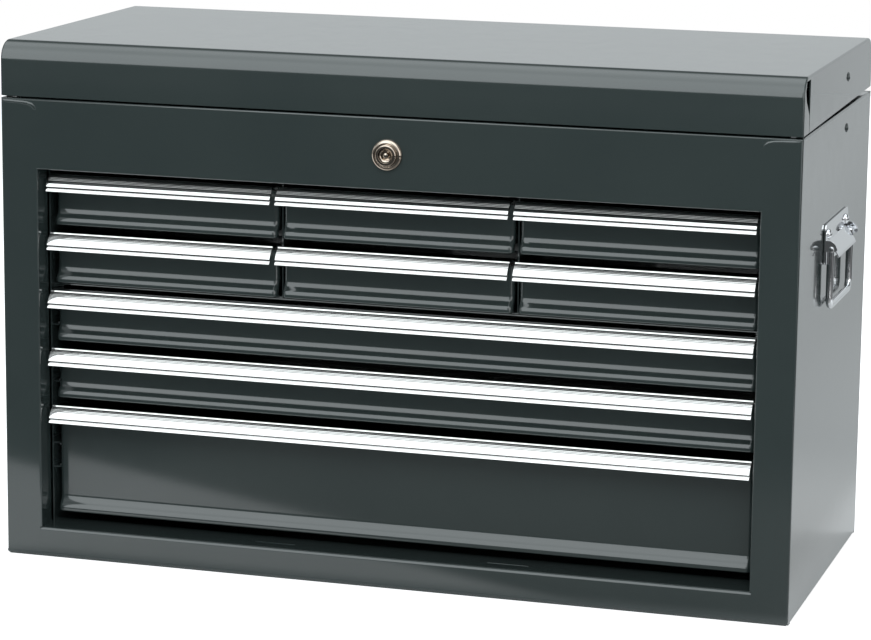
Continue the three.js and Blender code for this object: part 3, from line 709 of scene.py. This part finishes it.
# %% Sheet values
sheet = 1.2 * MM
bend = 1.6 * MM
seam = 0.15 * MM
corner_wrap = 3.0 * MM
rim_depth = 9.0 * MM
rim_upturn = 0.9 * MM
tab_length = 11.0 * MM
lid_gap = 0.6 * MM
top_return = 6.0 * MM
hem_depth = 6.0 * MM
roll_radius = 4.2 * MM
roll_depth = 9.0 * MM

frame_low, frame_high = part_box("front_frame")
rail_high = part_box("bottom_rail")[1]
front_y = frame_low.y
half_width = frame_high.x
body_top = frame_high.z
back_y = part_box("back_panel")[1].y
opening_half = rail_high.x + 0.2 * MM
rail_lap = 2.2 * MM
rail_step = 0.06 * MM
opening_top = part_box("till_floor")[0].z - 1.5 * MM
jamb_depth = frame_high.y - front_y
lock_low, lock_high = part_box("lock_housing")
lock_x, lock_z = (lock_low.x + lock_high.x) / 2, (lock_low.z + lock_high.z) / 2
print("front", front_y, "half width", half_width, "opening top", opening_top)

# %% Front frame
lock_hole_radius = 9.5 * MM

outline = [(-half_width, 0), (-opening_half, 0), (-opening_half, rail_high.z), (-opening_half, opening_top),
           (opening_half, opening_top), (opening_half, rail_high.z), (opening_half, 0), (half_width, 0),
           (half_width, body_top), (-half_width, body_top)]
front_frame = flat_face("front_frame_sheet", [(x, front_y, z) for x, z in outline])
in_front = on_plane(1, front_y)
at_floor, at_body_top = on_plane(2, 0.0), on_plane(2, body_top)
fold(front_frame, both(in_front, at_floor), y=roll_depth)
round_edges(front_frame, both(in_front, at_floor), roll_radius, 6)


def flank(x, lowest):
    """A test for the upright edges at x that reach above the lowest level."""
    return lambda edge: on_plane(0, x)(edge) and max(corner.z for corner in corners(edge)) > lowest + near_enough


def folded(edge):
    """True on a fold line, where two faces meet at more than a radian."""
    return len(edge.link_faces) == 2 and edge.calc_face_angle() > 1.0


for side in (-1, 1):
    fold(front_frame, flank(side * opening_half, rail_high.z), y=jamb_depth)
    fold(front_frame, flank(side * half_width, 0.0), y=corner_wrap)
fold(front_frame, both(in_front, on_plane(2, opening_top)), y=top_return)
fold(front_frame, both(in_front, at_body_top), y=rim_depth)
round_edges(front_frame, both(either(in_front, at_body_top), folded), bend)
thicken(front_frame, (0, -1, 0), sheet)
hole_front, hole_back = front_y - bend, front_y + 2 * sheet
hole = [(0, hole_front), (lock_hole_radius, hole_front), (lock_hole_radius, hole_back), (0, hole_back)]
cut_away(front_frame, turned("lock_cutter", hole, (lock_x, lock_z)))
soften(front_frame, 0.22, 2, 60.0)

# %% Corner creases and rim tabs
# The folded corners leave a raised crease under the top edge, which turns down at
# its inner end. Its outline is given in mm, inwards and downwards from the corner.
crease_outline = [(1.8, 1.4), (9.0, 1.5), (17.0, 1.8), (23.0, 2.2), (27.4, 3.3), (30.0, 5.3), (31.0, 8.6),
                  (28.7, 8.6), (27.2, 6.9), (25.0, 5.6), (22.2, 4.9), (16.8, 4.3), (9.0, 3.9), (1.8, 3.7)]
crease_slope_width = 1.0 * MM
crease_height = 0.42 * MM
crease_points = [(half_width - inward * MM, front_y + sheet / 2, body_top - down * MM)
                 for inward, down in crease_outline]
crease = swept_solid("corner_crease", crease_points, (0, -sheet / 2, 0))
edit(crease, bpy.ops.mesh.inset, "FACE", in_front, thickness=crease_slope_width, depth=crease_height)
# A small tab stands up from the rim at each end, behind the gap under the lid.
tab = block("rim_tab", (half_width - tab_length, front_y + rim_depth - sheet, body_top - sheet / 2),
            (half_width - bend, front_y + rim_depth, body_top + rim_upturn))
left_crease, left_tab = mirrored(crease, "corner_crease_left"), mirrored(tab, "rim_tab_left")
front_frame = joined("front_frame_sheet", [front_frame, crease, left_crease, tab, left_tab])
smooth(front_frame)
dress(front_frame, "root", enamel, "front_frame")

# %% Bottom rail
# The rail under the opening turns back at its top, and rolls under at the floor.
slot_half = Vector((17.0, 1.1, 3.0)) * MM
slot_y = -136.0 * MM
divider_x = sum(corner.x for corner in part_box("divider_right")) / 2
rail_top_bend = 2.6 * MM
rail_half = opening_half + rail_lap
rail_path = rounded([
    (rail_high.y, rail_high.z, 0), (front_y, rail_high.z, rail_top_bend), (front_y, 0, roll_radius),
    (front_y + roll_depth, 0, 0)])
rail_points = [(-rail_half, y + rail_step, z) for y, z in rail_path]
bottom_rail = swept_sheet("bottom_rail_sheet", rail_points, (2 * rail_half, 0, 0))
thicken(bottom_rail, (0, 0, 1), sheet)
for side in (-1, 1):
    slot_middle = Vector((side * divider_x, slot_y, rail_high.z))
    cut_away(bottom_rail, block("slot_cutter", slot_middle - slot_half, slot_middle + slot_half))
trim_edges(bottom_rail)
dress(bottom_rail, "root", enamel, "bottom_rail")

# %% [markdown]
# The two sides and the back close the cabinet. Each is a flat blank with its
# edges folded in, drawn and folded like the front. They meet in hairline seams
# a few millimetres behind the corners, as on the real cabinet.

# %% Side panels
side_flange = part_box("side_panel_right")[0].x
side_front = front_y + corner_wrap + seam
side_back = back_y - corner_wrap - seam
side_corners = [(side_front, 0), (side_back, 0), (side_back, body_top), (side_front, body_top)]
side_right = flat_face("side_panel_sheet_right", [(half_width, y, z) for y, z in side_corners])
on_side = on_plane(0, half_width)
fold(side_right, both(on_side, at_body_top), x=side_flange - half_width)
fold(side_right, both(on_side, at_floor), x=-hem_depth)
round_edges(side_right, both(on_side, either(at_body_top, at_floor)), bend)
thicken(side_right, (1, 0, 0), sheet)
trim_edges(side_right)
dress_pair(side_right, "root", enamel, "side_panel")

# %% Back panel
back_corners = [(-half_width, 0), (-half_width, body_top), (half_width, body_top), (half_width, 0)]
back_panel = flat_face("back_panel_sheet", [(x, back_y, z) for x, z in back_corners])
at_back = on_plane(1, back_y)
for side in (-1, 1):
    fold(back_panel, both(at_back, on_plane(0, side * half_width)), y=-corner_wrap)
for level in (at_floor, at_body_top):
    fold(back_panel, both(at_back, level), y=-hem_depth)
round_edges(back_panel, both(at_back, folded), bend)
thicken(back_panel, (0, 1, 0), sheet)
trim_edges(back_panel)
dress(back_panel, "root", enamel, "back_panel")

# %% [markdown]
# The lid is one deep-drawn sheet: it rolls over at the front and at the back,
# and folds down at both ends. A box is the right start here. Its bottom is
# opened, the long edges get their large roll, and the ends a tight fold. At each
# front corner the end sheet stops short of the roll and leaves a tapered slit,
# which is cut out once the shell has its gauge.

# %% Lid shell
lid_low, lid_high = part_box("lid_end_right")
lid_low.z += lid_gap
lid_roll = 16.0 * MM
lid_roll_steps = 14
end_bend = 1.8 * MM
rear_rise = 2.6 * MM
lid_hem = 5.0 * MM

lid = block("lid_shell", (-half_width, front_y, lid_low.z), (half_width, back_y, lid_high.z))
at_lid_foot = on_plane(2, lid_low.z)
edit(lid, bpy.ops.mesh.delete, "FACE", at_lid_foot, type="FACE")
edit(lid, bpy.ops.transform.translate, "VERT", both(at_back, at_lid_foot), value=(0, 0, rear_rise))
round_edges(lid, both(on_plane(2, lid_high.z), either(in_front, at_back)), lid_roll, lid_roll_steps)


def lid_foot(part):
    return all(corner.z < lid_low.z + rear_rise + near_enough for corner in corners(part))


on_lid_end = either(on_plane(0, half_width), on_plane(0, -half_width))
round_edges(lid, lambda edge: on_lid_end(edge) and not lid_foot(edge), end_bend, 3)
start_edit(lid)
pick(lid, "EDGE", lid_foot)
push()
hem_scale = (1 - lid_hem / half_width, 1 - lid_hem / back_y, 1)
bpy.ops.transform.resize(value=hem_scale, center_override=(0, 0, lid_low.z))
end_edit()
thicken(lid, (0, 0, 1), sheet)

# %% Lid corner slits
# The slit's outline in mm: back from the front sheet, and up from the lid's foot.
slit_mm = [(22.9, -1.6), (21.8, 14.0), (9.0, 26.0), (5.8, 34.0), (9.0, 41.2), (24.0, 41.2), (24.0, -1.6)]
slit = [(front_y + inset * MM, lid_low.z + height * MM) for inset, height in slit_mm]
for side in (-1, 1):
    start_x = side * (half_width + bend)
    cut_away(lid, swept_solid("slit_cutter", [(start_x, y, z) for y, z in slit], (-side * 3 * bend, 0, 0)))
trim_edges(lid)
dress(lid, "lid", enamel, "lid_skin", "lid_end_left", "lid_end_right")

# %% [markdown]
# Each drawer has a full-length aluminium pull. Its extruded section has small
# stepped ribs on the upper half of the slope, a fine groove above the lip, and
# arms behind that clip over the drawer front. The section is drawn once for a
# short and once for a long pull, swept along X, and then copied.

# %% Pull section
# The pull's section is drawn in mm: back from the front sheet, and up from the top.
rib_first = 1.0
rib_pitch = 1.2
rib_count = 4
rib_width = 0.6
rib_foot_fall = math.tan(math.radians(12.0))
slope_top = Vector((15.1, -0.9))
slope_foot = Vector((8.0, -9.3))
slope_turn = math.radians(30.0)
slope_steps = 10
pull_bevel = 0.07 * MM
rear_outline = [(32.7, 0.0), (16.8, 0.4), (16.0, 0.4), (15.7, 0.2), (15.3, -0.8)]
lip_outline = [
    (8.3, -9.45), (10.0, -9.5), (10.0, -11.0), (8.1, -11.1), (7.2, -12.6), (7.1, -13.0), (7.4, -13.3), (9.0, -13.3),
    (11.4, -11.0), (11.6, -9.4), (17.2, -1.4), (27.3, -1.4), (27.3, -5.0), (28.7, -5.0), (28.7, -1.4), (31.3, -1.4),
    (31.3, -5.0), (32.7, -5.0)]


def slope_point(distance):
    """A point on the pull's slightly rounded slope, at a distance from its crest."""
    chord = slope_foot - slope_top
    radius = chord.length / 2 / math.sin(slope_turn / 2)
    middle = (slope_top + slope_foot) / 2
    inward = Vector((-chord.y, chord.x)).normalized()
    centre = middle + inward * radius * math.cos(slope_turn / 2)
    spoke = slope_top - centre
    angle = math.atan2(spoke.y, spoke.x) + distance / radius
    return centre + Vector((math.cos(angle), math.sin(angle))) * radius


def ribbed_slope():
    """The slope from crest to foot, with a small upright step at each rib on its upper half."""
    length = (slope_foot - slope_top).length
    points = [slope_point(0)]
    for rib in range(rib_count):
        edge_place = slope_point(rib_first + rib * rib_pitch)
        foot_place = slope_point(rib_first + rib * rib_pitch + rib_width)
        step_foot = Vector((edge_place.x, foot_place.y + (edge_place.x - foot_place.x) * rib_foot_fall))
        points += [edge_place, step_foot, foot_place]
    last = rib_first + (rib_count - 1) * rib_pitch + rib_width
    for step in range(1, slope_steps + 1):
        points.append(slope_point(last + (length - last) * step / slope_steps))
    return points


def make_pull(name, low, high):
    section = rear_outline + [tuple(point) for point in ribbed_slope()] + lip_outline
    points = [(low.x, front_y + inset * MM, high.z + height * MM) for inset, height in section]
    pull = swept_solid(name, points, (high.x - low.x, 0, 0))

    def beside_ribs(edge):
        behind_crest = any(corner.y > front_y + slope_top.x * MM - near_enough for corner in corners(edge))
        under_foot = any(corner.z < high.z + slope_foot.y * MM - near_enough for corner in corners(edge))
        return behind_crest or under_foot

    round_edges(pull, lambda edge: beside_ribs(edge) and edge.calc_face_angle() > 0.4, pull_bevel, 2)
    smooth(pull, 30.0)
    return pull


drawer_names = [name for name in frame["bodies"] if name.startswith("drawer_row")]
for name in drawer_names:
    node_name = name.replace("drawer", "pull_trim")
    pull = once(name.replace("drawer", "pull"), *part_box(node_name), make_pull)
    dress(pull, name, aluminium, node_name)

# %% [markdown]
# A drawer is a front and a tray. The front is swept from a section that flares
# out near its foot, which gives the two light lines in the photograph; its
# upright edges are folded back with a generous radius. The tray starts as an
# open box with rounded bends, and a hem or a running flange along its rim.

# %% Drawer values
drawer_sheet = 0.9 * MM
face_set_back = 5.0 * MM
face_fold = 6.5 * MM
face_bend = 1.0 * MM
side_bend = 4.0 * MM
flare_height = 5.2 * MM
flare_rise = 5.0 * MM
flare_hollow = 9.8 * MM
flare_crown = 6.8 * MM
foot_bend = 1.4 * MM
floor_rise = 2.0 * MM
rim_drop = 4.7 * MM
tray_bend = 1.6 * MM
tray_inset = {"small": 5.5 * MM, "full": 8.2 * MM}
rim_flange = {"small": 4.0 * MM, "full": -4.0 * MM}
print("drawers:", len(drawer_names))

# %% Drawer fronts and trays


def make_front(name, low, high):
    """The flared drawer front between the corners of its node."""
    flare_y, face_y = low.y, low.y + face_set_back
    section = rounded([
        (face_y + face_fold, high.z, 0), (face_y, high.z, face_bend),
        (face_y, low.z + flare_height + flare_rise, flare_hollow),
        (flare_y, low.z + flare_height, flare_crown), (flare_y, low.z, foot_bend),
        (face_y + face_fold, low.z, 0),
    ], 7)
    front = swept_sheet(name, [(low.x, y, z) for y, z in section], (high.x - low.x, 0, 0))

    def upright(x):
        """A test for the edges of the face at its left or right end."""
        return lambda edge: on_plane(0, x)(edge) and max(c.y for c in corners(edge)) < face_y + near_enough

    for x in (low.x, high.x):
        fold(front, upright(x), y=face_fold)
    for x in (low.x, high.x):
        round_edges(front, both(upright(x), lambda edge: not edge.is_boundary), side_bend, 5)
    thicken(front, (0, -1, 0), drawer_sheet, even=False)
    return front


def make_tray(name, low, high, kind):
    """The open tray behind the front, with rounded bends and a flange or hem on its rim."""
    rim = high.z - rim_drop
    left, right = low.x + tray_inset[kind], high.x - tray_inset[kind]
    tray = block(name, (left, low.y + face_set_back + face_fold / 2, low.z + floor_rise),
                 (right, high.y - drawer_sheet, rim))
    edit(tray, bpy.ops.mesh.delete, "FACE", on_plane(2, rim), type="FACE")
    round_edges(tray, lambda edge: not edge.is_boundary, tray_bend, 3)
    for side, x in ((-1, left), (1, right)):
        fold(tray, both(on_plane(0, x), on_plane(2, rim)), x=side * rim_flange[kind])
    thicken(tray, (0, 0, -1), drawer_sheet)
    return tray


def make_drawer(name, low, high):
    kind = "full" if high.x - low.x > half_width else "small"
    drawer = joined(name, [make_front(name, low, high), make_tray("tray", low, high, kind)])
    soften(drawer, 0.15, 2, 60.0)
    smooth(drawer)
    return drawer


for name in drawer_names:
    dress(once(name + "_tray", *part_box(name), make_drawer), name, enamel, name)

# %% [markdown]
# The lock is turned work: a domed bezel, a groove, a raised collar, and inside
# it the plug with a ring-shaped keyway round a bright centre post. Each part is
# half a section, drawn as a chain and spun round the lock's axis.

# %% Lock
plug_low, plug_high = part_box("lock_plug")
bezel_radius = (lock_high.x - lock_low.x) / 2
plug_radius = (plug_high.x - plug_low.x) / 2
bore_radius = plug_radius + 0.3 * MM
barrel_radius = 9.2 * MM
collar_radius = 8.6 * MM
seat_y = front_y - 0.3 * MM
lip_y = lock_low.y
lock_axis = (lock_x, lock_z)


def closed(points):
    return points + [points[0]]


collar_foot = lip_y + 2.9 * MM
housing_section = rounded([
    (bore_radius, lock_high.y, 0), (bore_radius, lip_y, 0.15 * MM), (collar_radius, lip_y, 1.1 * MM),
    (collar_radius, collar_foot, 0), (9.3 * MM, collar_foot, 0), (9.4 * MM, lip_y + 1.9 * MM, 0.3 * MM),
    (bezel_radius, lip_y + 2.1 * MM, 2.6 * MM), (bezel_radius, seat_y, 0), (barrel_radius, seat_y, 0),
    (barrel_radius, lock_high.y, 0)])
lock_housing = turned("lock_bezel_and_barrel", closed(housing_section), lock_axis, 64)
smooth(lock_housing, 32.0)
dress(lock_housing, "root", nickel, "lock_housing")

# The keyway is a ring between two radii, with one notch above; all in mm.
keyway_inner, keyway_outer, keyway_depth = 2.3, 4.1, 6.0
notch_half, notch_foot, notch_top = 0.75, 2.8, 5.2
face_y = plug_low.y
# The plug's face, as (radius, depth) in mm from the centre post out past the keyway.
plug_face_mm = [(0.0, 0.1), (1.2, 0.15), (1.9, 0.5), (keyway_inner, 1.2), (keyway_inner, keyway_depth),
                (keyway_outer, keyway_depth), (keyway_outer, 0.5), (4.5, 0.1), (5.1, 0.0)]
plug_section = [(0.0, plug_high.y)] + [(radius * MM, face_y + depth * MM) for radius, depth in plug_face_mm]
plug_section += [(plug_radius, face_y + 0.5 * MM), (plug_radius, plug_high.y), (0.0, plug_high.y)]
lock_plug = turned("lock_plug_with_keyway", plug_section, lock_axis, 48)
notch_low = (lock_x - notch_half * MM, face_y - bend, lock_z + notch_foot * MM)
notch_high = (lock_x + notch_half * MM, face_y + keyway_depth * MM, lock_z + notch_top * MM)
cut_away(lock_plug, block("notch_cutter", notch_low, notch_high))
smooth(lock_plug, 32.0)
dress(lock_plug, "lock_core", nickel, "lock_plug")

# %% [markdown]
# The side handles are plated steel. A plate is riveted to the side; two ears
# hold the ends of the bail, and a curled hood between them covers its pivot and
# stops it level. The bail is one bent rod: a disc extruded along the legs and
# spun round the corners.

# %% Handle values
bail_pivot = Vector(next(joint["pos_m"] for joint in frame["joints"] if joint["name"] == "bail_right_swing"))
plate_low, plate_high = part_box("handle_plate_right")
bail_low, bail_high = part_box("handle_bail_right")
plate_inner = half_width + 0.3 * MM
plate_gauge = 1.5 * MM
plate_outer = plate_inner + plate_gauge
plate_half = plate_high.y
print("bail pivot", bail_pivot)


def dome(name, centre, radius, height):
    """A rivet head that looks along X, spun from a quarter arc."""
    arc = [(radius * math.cos(angle), -height * math.sin(angle))
           for angle in [math.radians(degrees) for degrees in (0, 12, 24, 36, 48, 60, 72, 82, 90)]]
    return turned_to_x(turned(name, [(0.0, 0.0)] + arc, (0.0, 0.0), 28), centre)


# %% Handle plate with ears, hood and rivets
plate_rise = 3.0 * MM
ear_gauge = 1.7 * MM
ear_lean = 0.15
ear_outline_mm = [(-1.3, -2.2), (0.0, -2.2), (8.3, -1.9), (9.2, -0.4), (8.6, 2.4), (6.8, 5.0), (4.0, 6.8), (0.0, 7.3),
                  (-1.3, 7.3)]
hood_half = 39.0 * MM
hood_curve_mm = [(0.3, 5.0), (1.4, 3.2), (3.4, 1.2), (5.9, -1.8), (7.9, -4.8), (8.8, -6.6), (9.2, -8.0)]
hood_gauge = 1.2 * MM
rivet_half_spacing = 38.5 * MM
rivet_level = 292.0 * MM
rivet_radius = 4.2 * MM
rivet_height = 3.0 * MM


def beside_plate(outline_mm):
    """Turns (out from the plate, up from the pivot) in millimetres into (x, z)."""
    return [(plate_outer + out * MM, bail_pivot.z + up * MM) for out, up in outline_mm]


plate_top = plate_high.z + plate_rise
plate_outline = rounded([
    (0.0, plate_low.z, 0), (plate_half, plate_low.z, 3.0 * MM), (plate_half, plate_top, 5.0 * MM),
    (-plate_half, plate_top, 5.0 * MM), (-plate_half, plate_low.z, 3.0 * MM), (-0.001, plate_low.z, 0)])
plate = swept_solid("handle_plate", [(plate_inner, y, z) for y, z in plate_outline], (plate_gauge, 0, 0))
lance_half = hood_half + 0.6 * MM
lance_low = (plate_inner - bend, -lance_half, bail_pivot.z - 9.0 * MM)
lance_high = (plate_outer + bend, lance_half, bail_pivot.z + 2.6 * MM)
cut_away(plate, block("lance_cutter", lance_low, lance_high))
ears, rivets = [], []
for side in (-1, 1):
    ear_points = [(x, side * (plate_half - ear_lean * (x - plate_inner)), z) for x, z in beside_plate(ear_outline_mm)]
    ears.append(swept_solid("ear", ear_points, (0, -side * ear_gauge, 0)))
    rivet_place = (plate_outer, side * rivet_half_spacing, rivet_level)
    rivets.append(dome("plate_rivet", rivet_place, rivet_radius, rivet_height))
hood = swept_sheet("hood", [(x, -hood_half, z) for x, z in beside_plate(hood_curve_mm)], (0, 2 * hood_half, 0))
thicken(hood, (1, 0, 1), hood_gauge)
for part in [plate, hood] + ears:
    soften(part, 0.3, 2, 50.0)
handle_plate_right = joined("handle_plate_sheet_right", [plate, hood] + ears + rivets)
smooth(handle_plate_right, 40.0)
dress_pair(handle_plate_right, "root", chrome, "handle_plate")

# %% Handle bail
rod_radius = 2.9 * MM
rod_x = bail_pivot.x - 1.6 * MM
leg_y = bail_high.y - 7.5 * MM
corner_radius = 8.0 * MM
corner_level = bail_low.z + rod_radius + corner_radius
corner_y = leg_y - corner_radius
corner_steps = 8
leg_top = bail_pivot.z + 2.4 * MM
end_round = 1.4 * MM
pin_radius = 2.2 * MM

bpy.ops.mesh.primitive_circle_add(vertices=20, radius=rod_radius, fill_type="NGON", location=(rod_x, -leg_y, leg_top))
bail = bpy.context.active_object
settle()
start_edit(bail)
push(z=corner_level - leg_top)
for side in (-1, 1):
    turn_centre = (rod_x, side * corner_y, corner_level)
    bpy.ops.mesh.spin(steps=corner_steps, angle=-math.pi / 2, axis=(1.0, 0.0, 0.0), center=turn_centre)
    push(y=2 * corner_y) if side < 0 else push(z=leg_top - corner_level)
end_edit()
face_outward(bail)
round_edges(bail, on_plane(2, leg_top), end_round, 4)
bail_parts = [bail]
for side in (-1, 1):
    pin_start = side * (leg_y - rod_radius / 2)
    pin_end = side * (plate_half + 0.6 * MM)
    pin_section = rounded([
        (0.0, pin_start, 0), (pin_radius, pin_start, 0), (pin_radius, pin_end, 0.5 * MM), (0.0, side * bail_high.y, 0)])
    bail_parts.append(turned("bail_pin", pin_section, (bail_pivot.x, bail_pivot.z), 24))
bail_right = joined("handle_bail_rod_right", bail_parts)
smooth(bail_right, 40.0)
dress_pair(bail_right, "bail_right", chrome, "handle_bail")

# %% [markdown]
# Two folding stays hold the lid. Their rivets show outside as small painted
# domes, one in the lid and one in the cabinet side.

# %% Stay rivets
head_seat = half_width + 0.2 * MM
shank_half = 2.6 * MM
shank_section = [(0.0, -shank_half), (shank_half, -shank_half), (shank_half, shank_half), (0.0, shank_half)]
for body, node_name in (("root", "stay_body_rivet"), ("lid", "stay_lid_rivet")):
    low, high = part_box(node_name + "_right")
    middle = (low + high) / 2
    head = dome("head", (head_seat, middle.y, middle.z), (high.z - low.z) / 2, high.x - head_seat)
    shank = turned("shank", closed(shank_section), (0.0, 0.0), 20)
    stretch = (half_width - low.x) / (2 * shank_half)
    turned_to_x(shank, ((half_width + low.x) / 2, middle.y, middle.z), (1.0, stretch, 1.0))
    rivet_right = joined(node_name + "_dome_right", [head, shank])
    smooth(rivet_right, 40.0)
    dress_pair(rivet_right, body, enamel, node_name)

# %% [markdown]
# A long hinge joins the lid to the back. Each leaf is a strip of plated steel
# with a row of rivets. Its edge is cut into tongues, and each tongue curls round
# the pin. One tongue is swept from its section and copied along the leaf, so
# that the knuckles of the two leaves take turns.

# %% Hinge
pin_low, pin_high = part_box("hinge_pin")
pin_y, pin_z = (pin_low.y + pin_high.y) / 2, (pin_low.z + pin_high.z) / 2
leaf_gauge = 1.0 * MM
knuckle_count = 24
knuckle_gap = 0.5 * MM
knuckle_reach = 3.4 * MM
curl_steps = 14
curl_start, curl_turn = -18.0, 288.0
leaf_rivet_count = 10
# A rivet head, as (radius, height above the leaf) in mm.
leaf_rivet_mm = [(0.0, -0.5), (2.6, -0.5), (2.6, 0.1), (2.1, 0.7), (1.1, 1.05), (0.0, 1.15)]


def tongue_section(curl_radius, leaf_y, start_z):
    """The leaf's line up to the pin and the curl round it, as (y, z) points."""
    up = 1.0 if start_z < pin_z else -1.0
    points = [(leaf_y, start_z)]
    for step in range(curl_steps + 1):
        angle = math.pi - up * math.radians(curl_start + curl_turn * step / curl_steps)
        points.append((pin_y + curl_radius * math.cos(angle), pin_z + curl_radius * math.sin(angle)))
    return points


for leaf_name, body, first_knuckle in (("hinge_body_leaf", "root", 0), ("hinge_lid_leaf", "lid", 1)):
    low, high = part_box(leaf_name)
    leaf_y = low.y + leaf_gauge
    edge_z, near_z = (low.z, pin_z - knuckle_reach) if body == "root" else (high.z, pin_z + knuckle_reach)
    length = high.x - low.x
    pitch = length / knuckle_count
    leaf = swept_sheet(leaf_name + "_strip", [(low.x, leaf_y, edge_z), (low.x, leaf_y, near_z)], (length, 0, 0))
    tongue_x = low.x + first_knuckle * pitch + knuckle_gap / 2
    section = tongue_section(high.y - pin_y - leaf_gauge, leaf_y, near_z)
    tongue = swept_sheet("tongue", [(tongue_x, y, z) for y, z in section], (pitch - knuckle_gap, 0, 0))
    tongues = [copied(tongue, "tongue", (2 * turn * pitch, 0, 0)) for turn in range(1, knuckle_count // 2)]
    pieces = [leaf, tongue] + tongues
    for piece in pieces:
        thicken(piece, (0, 1, 0), leaf_gauge)
    rivet_section = [(radius * MM, leaf_y + height * MM) for radius, height in leaf_rivet_mm]
    for turn in range(leaf_rivet_count):
        rivet_x = low.x + (turn + 0.5) * length / leaf_rivet_count
        pieces.append(turned("leaf_rivet", rivet_section, (rivet_x, (edge_z + near_z) / 2), 20))
    hinge_leaf = joined(leaf_name + "_with_knuckles", pieces)
    smooth(hinge_leaf, 40.0)
    dress(hinge_leaf, body, zinc, leaf_name)

# %% [markdown]
# The inner parts keep the frame's own solids: painted sheets, and zinc-plated
# slides, stays, hinge pin, cam and nut. A small bevel catches light on their edges.

# %% Finish the frame's own nodes
painted_nodes = ["bottom_panel", "till_floor", "mid_shelf", "divider_left", "divider_right",
                 "inner_side_left", "inner_side_right", "lid_striker"]
for name, node in frame["nodes"].items():
    node.data.materials.clear()
    node.data.materials.append((enamel if name in painted_nodes else zinc).material)
    if not node.hide_render:
        add_modifier(node, "WELD", merge_threshold=near_enough / 4)
        add_modifier(node, "BEVEL", width=0.25 * MM, segments=2, limit_method="ANGLE",
                     angle_limit=math.radians(50.0), use_clamp_overlap=True)
print("frame nodes finished:", sum(not node.hide_render for node in frame["nodes"].values()))
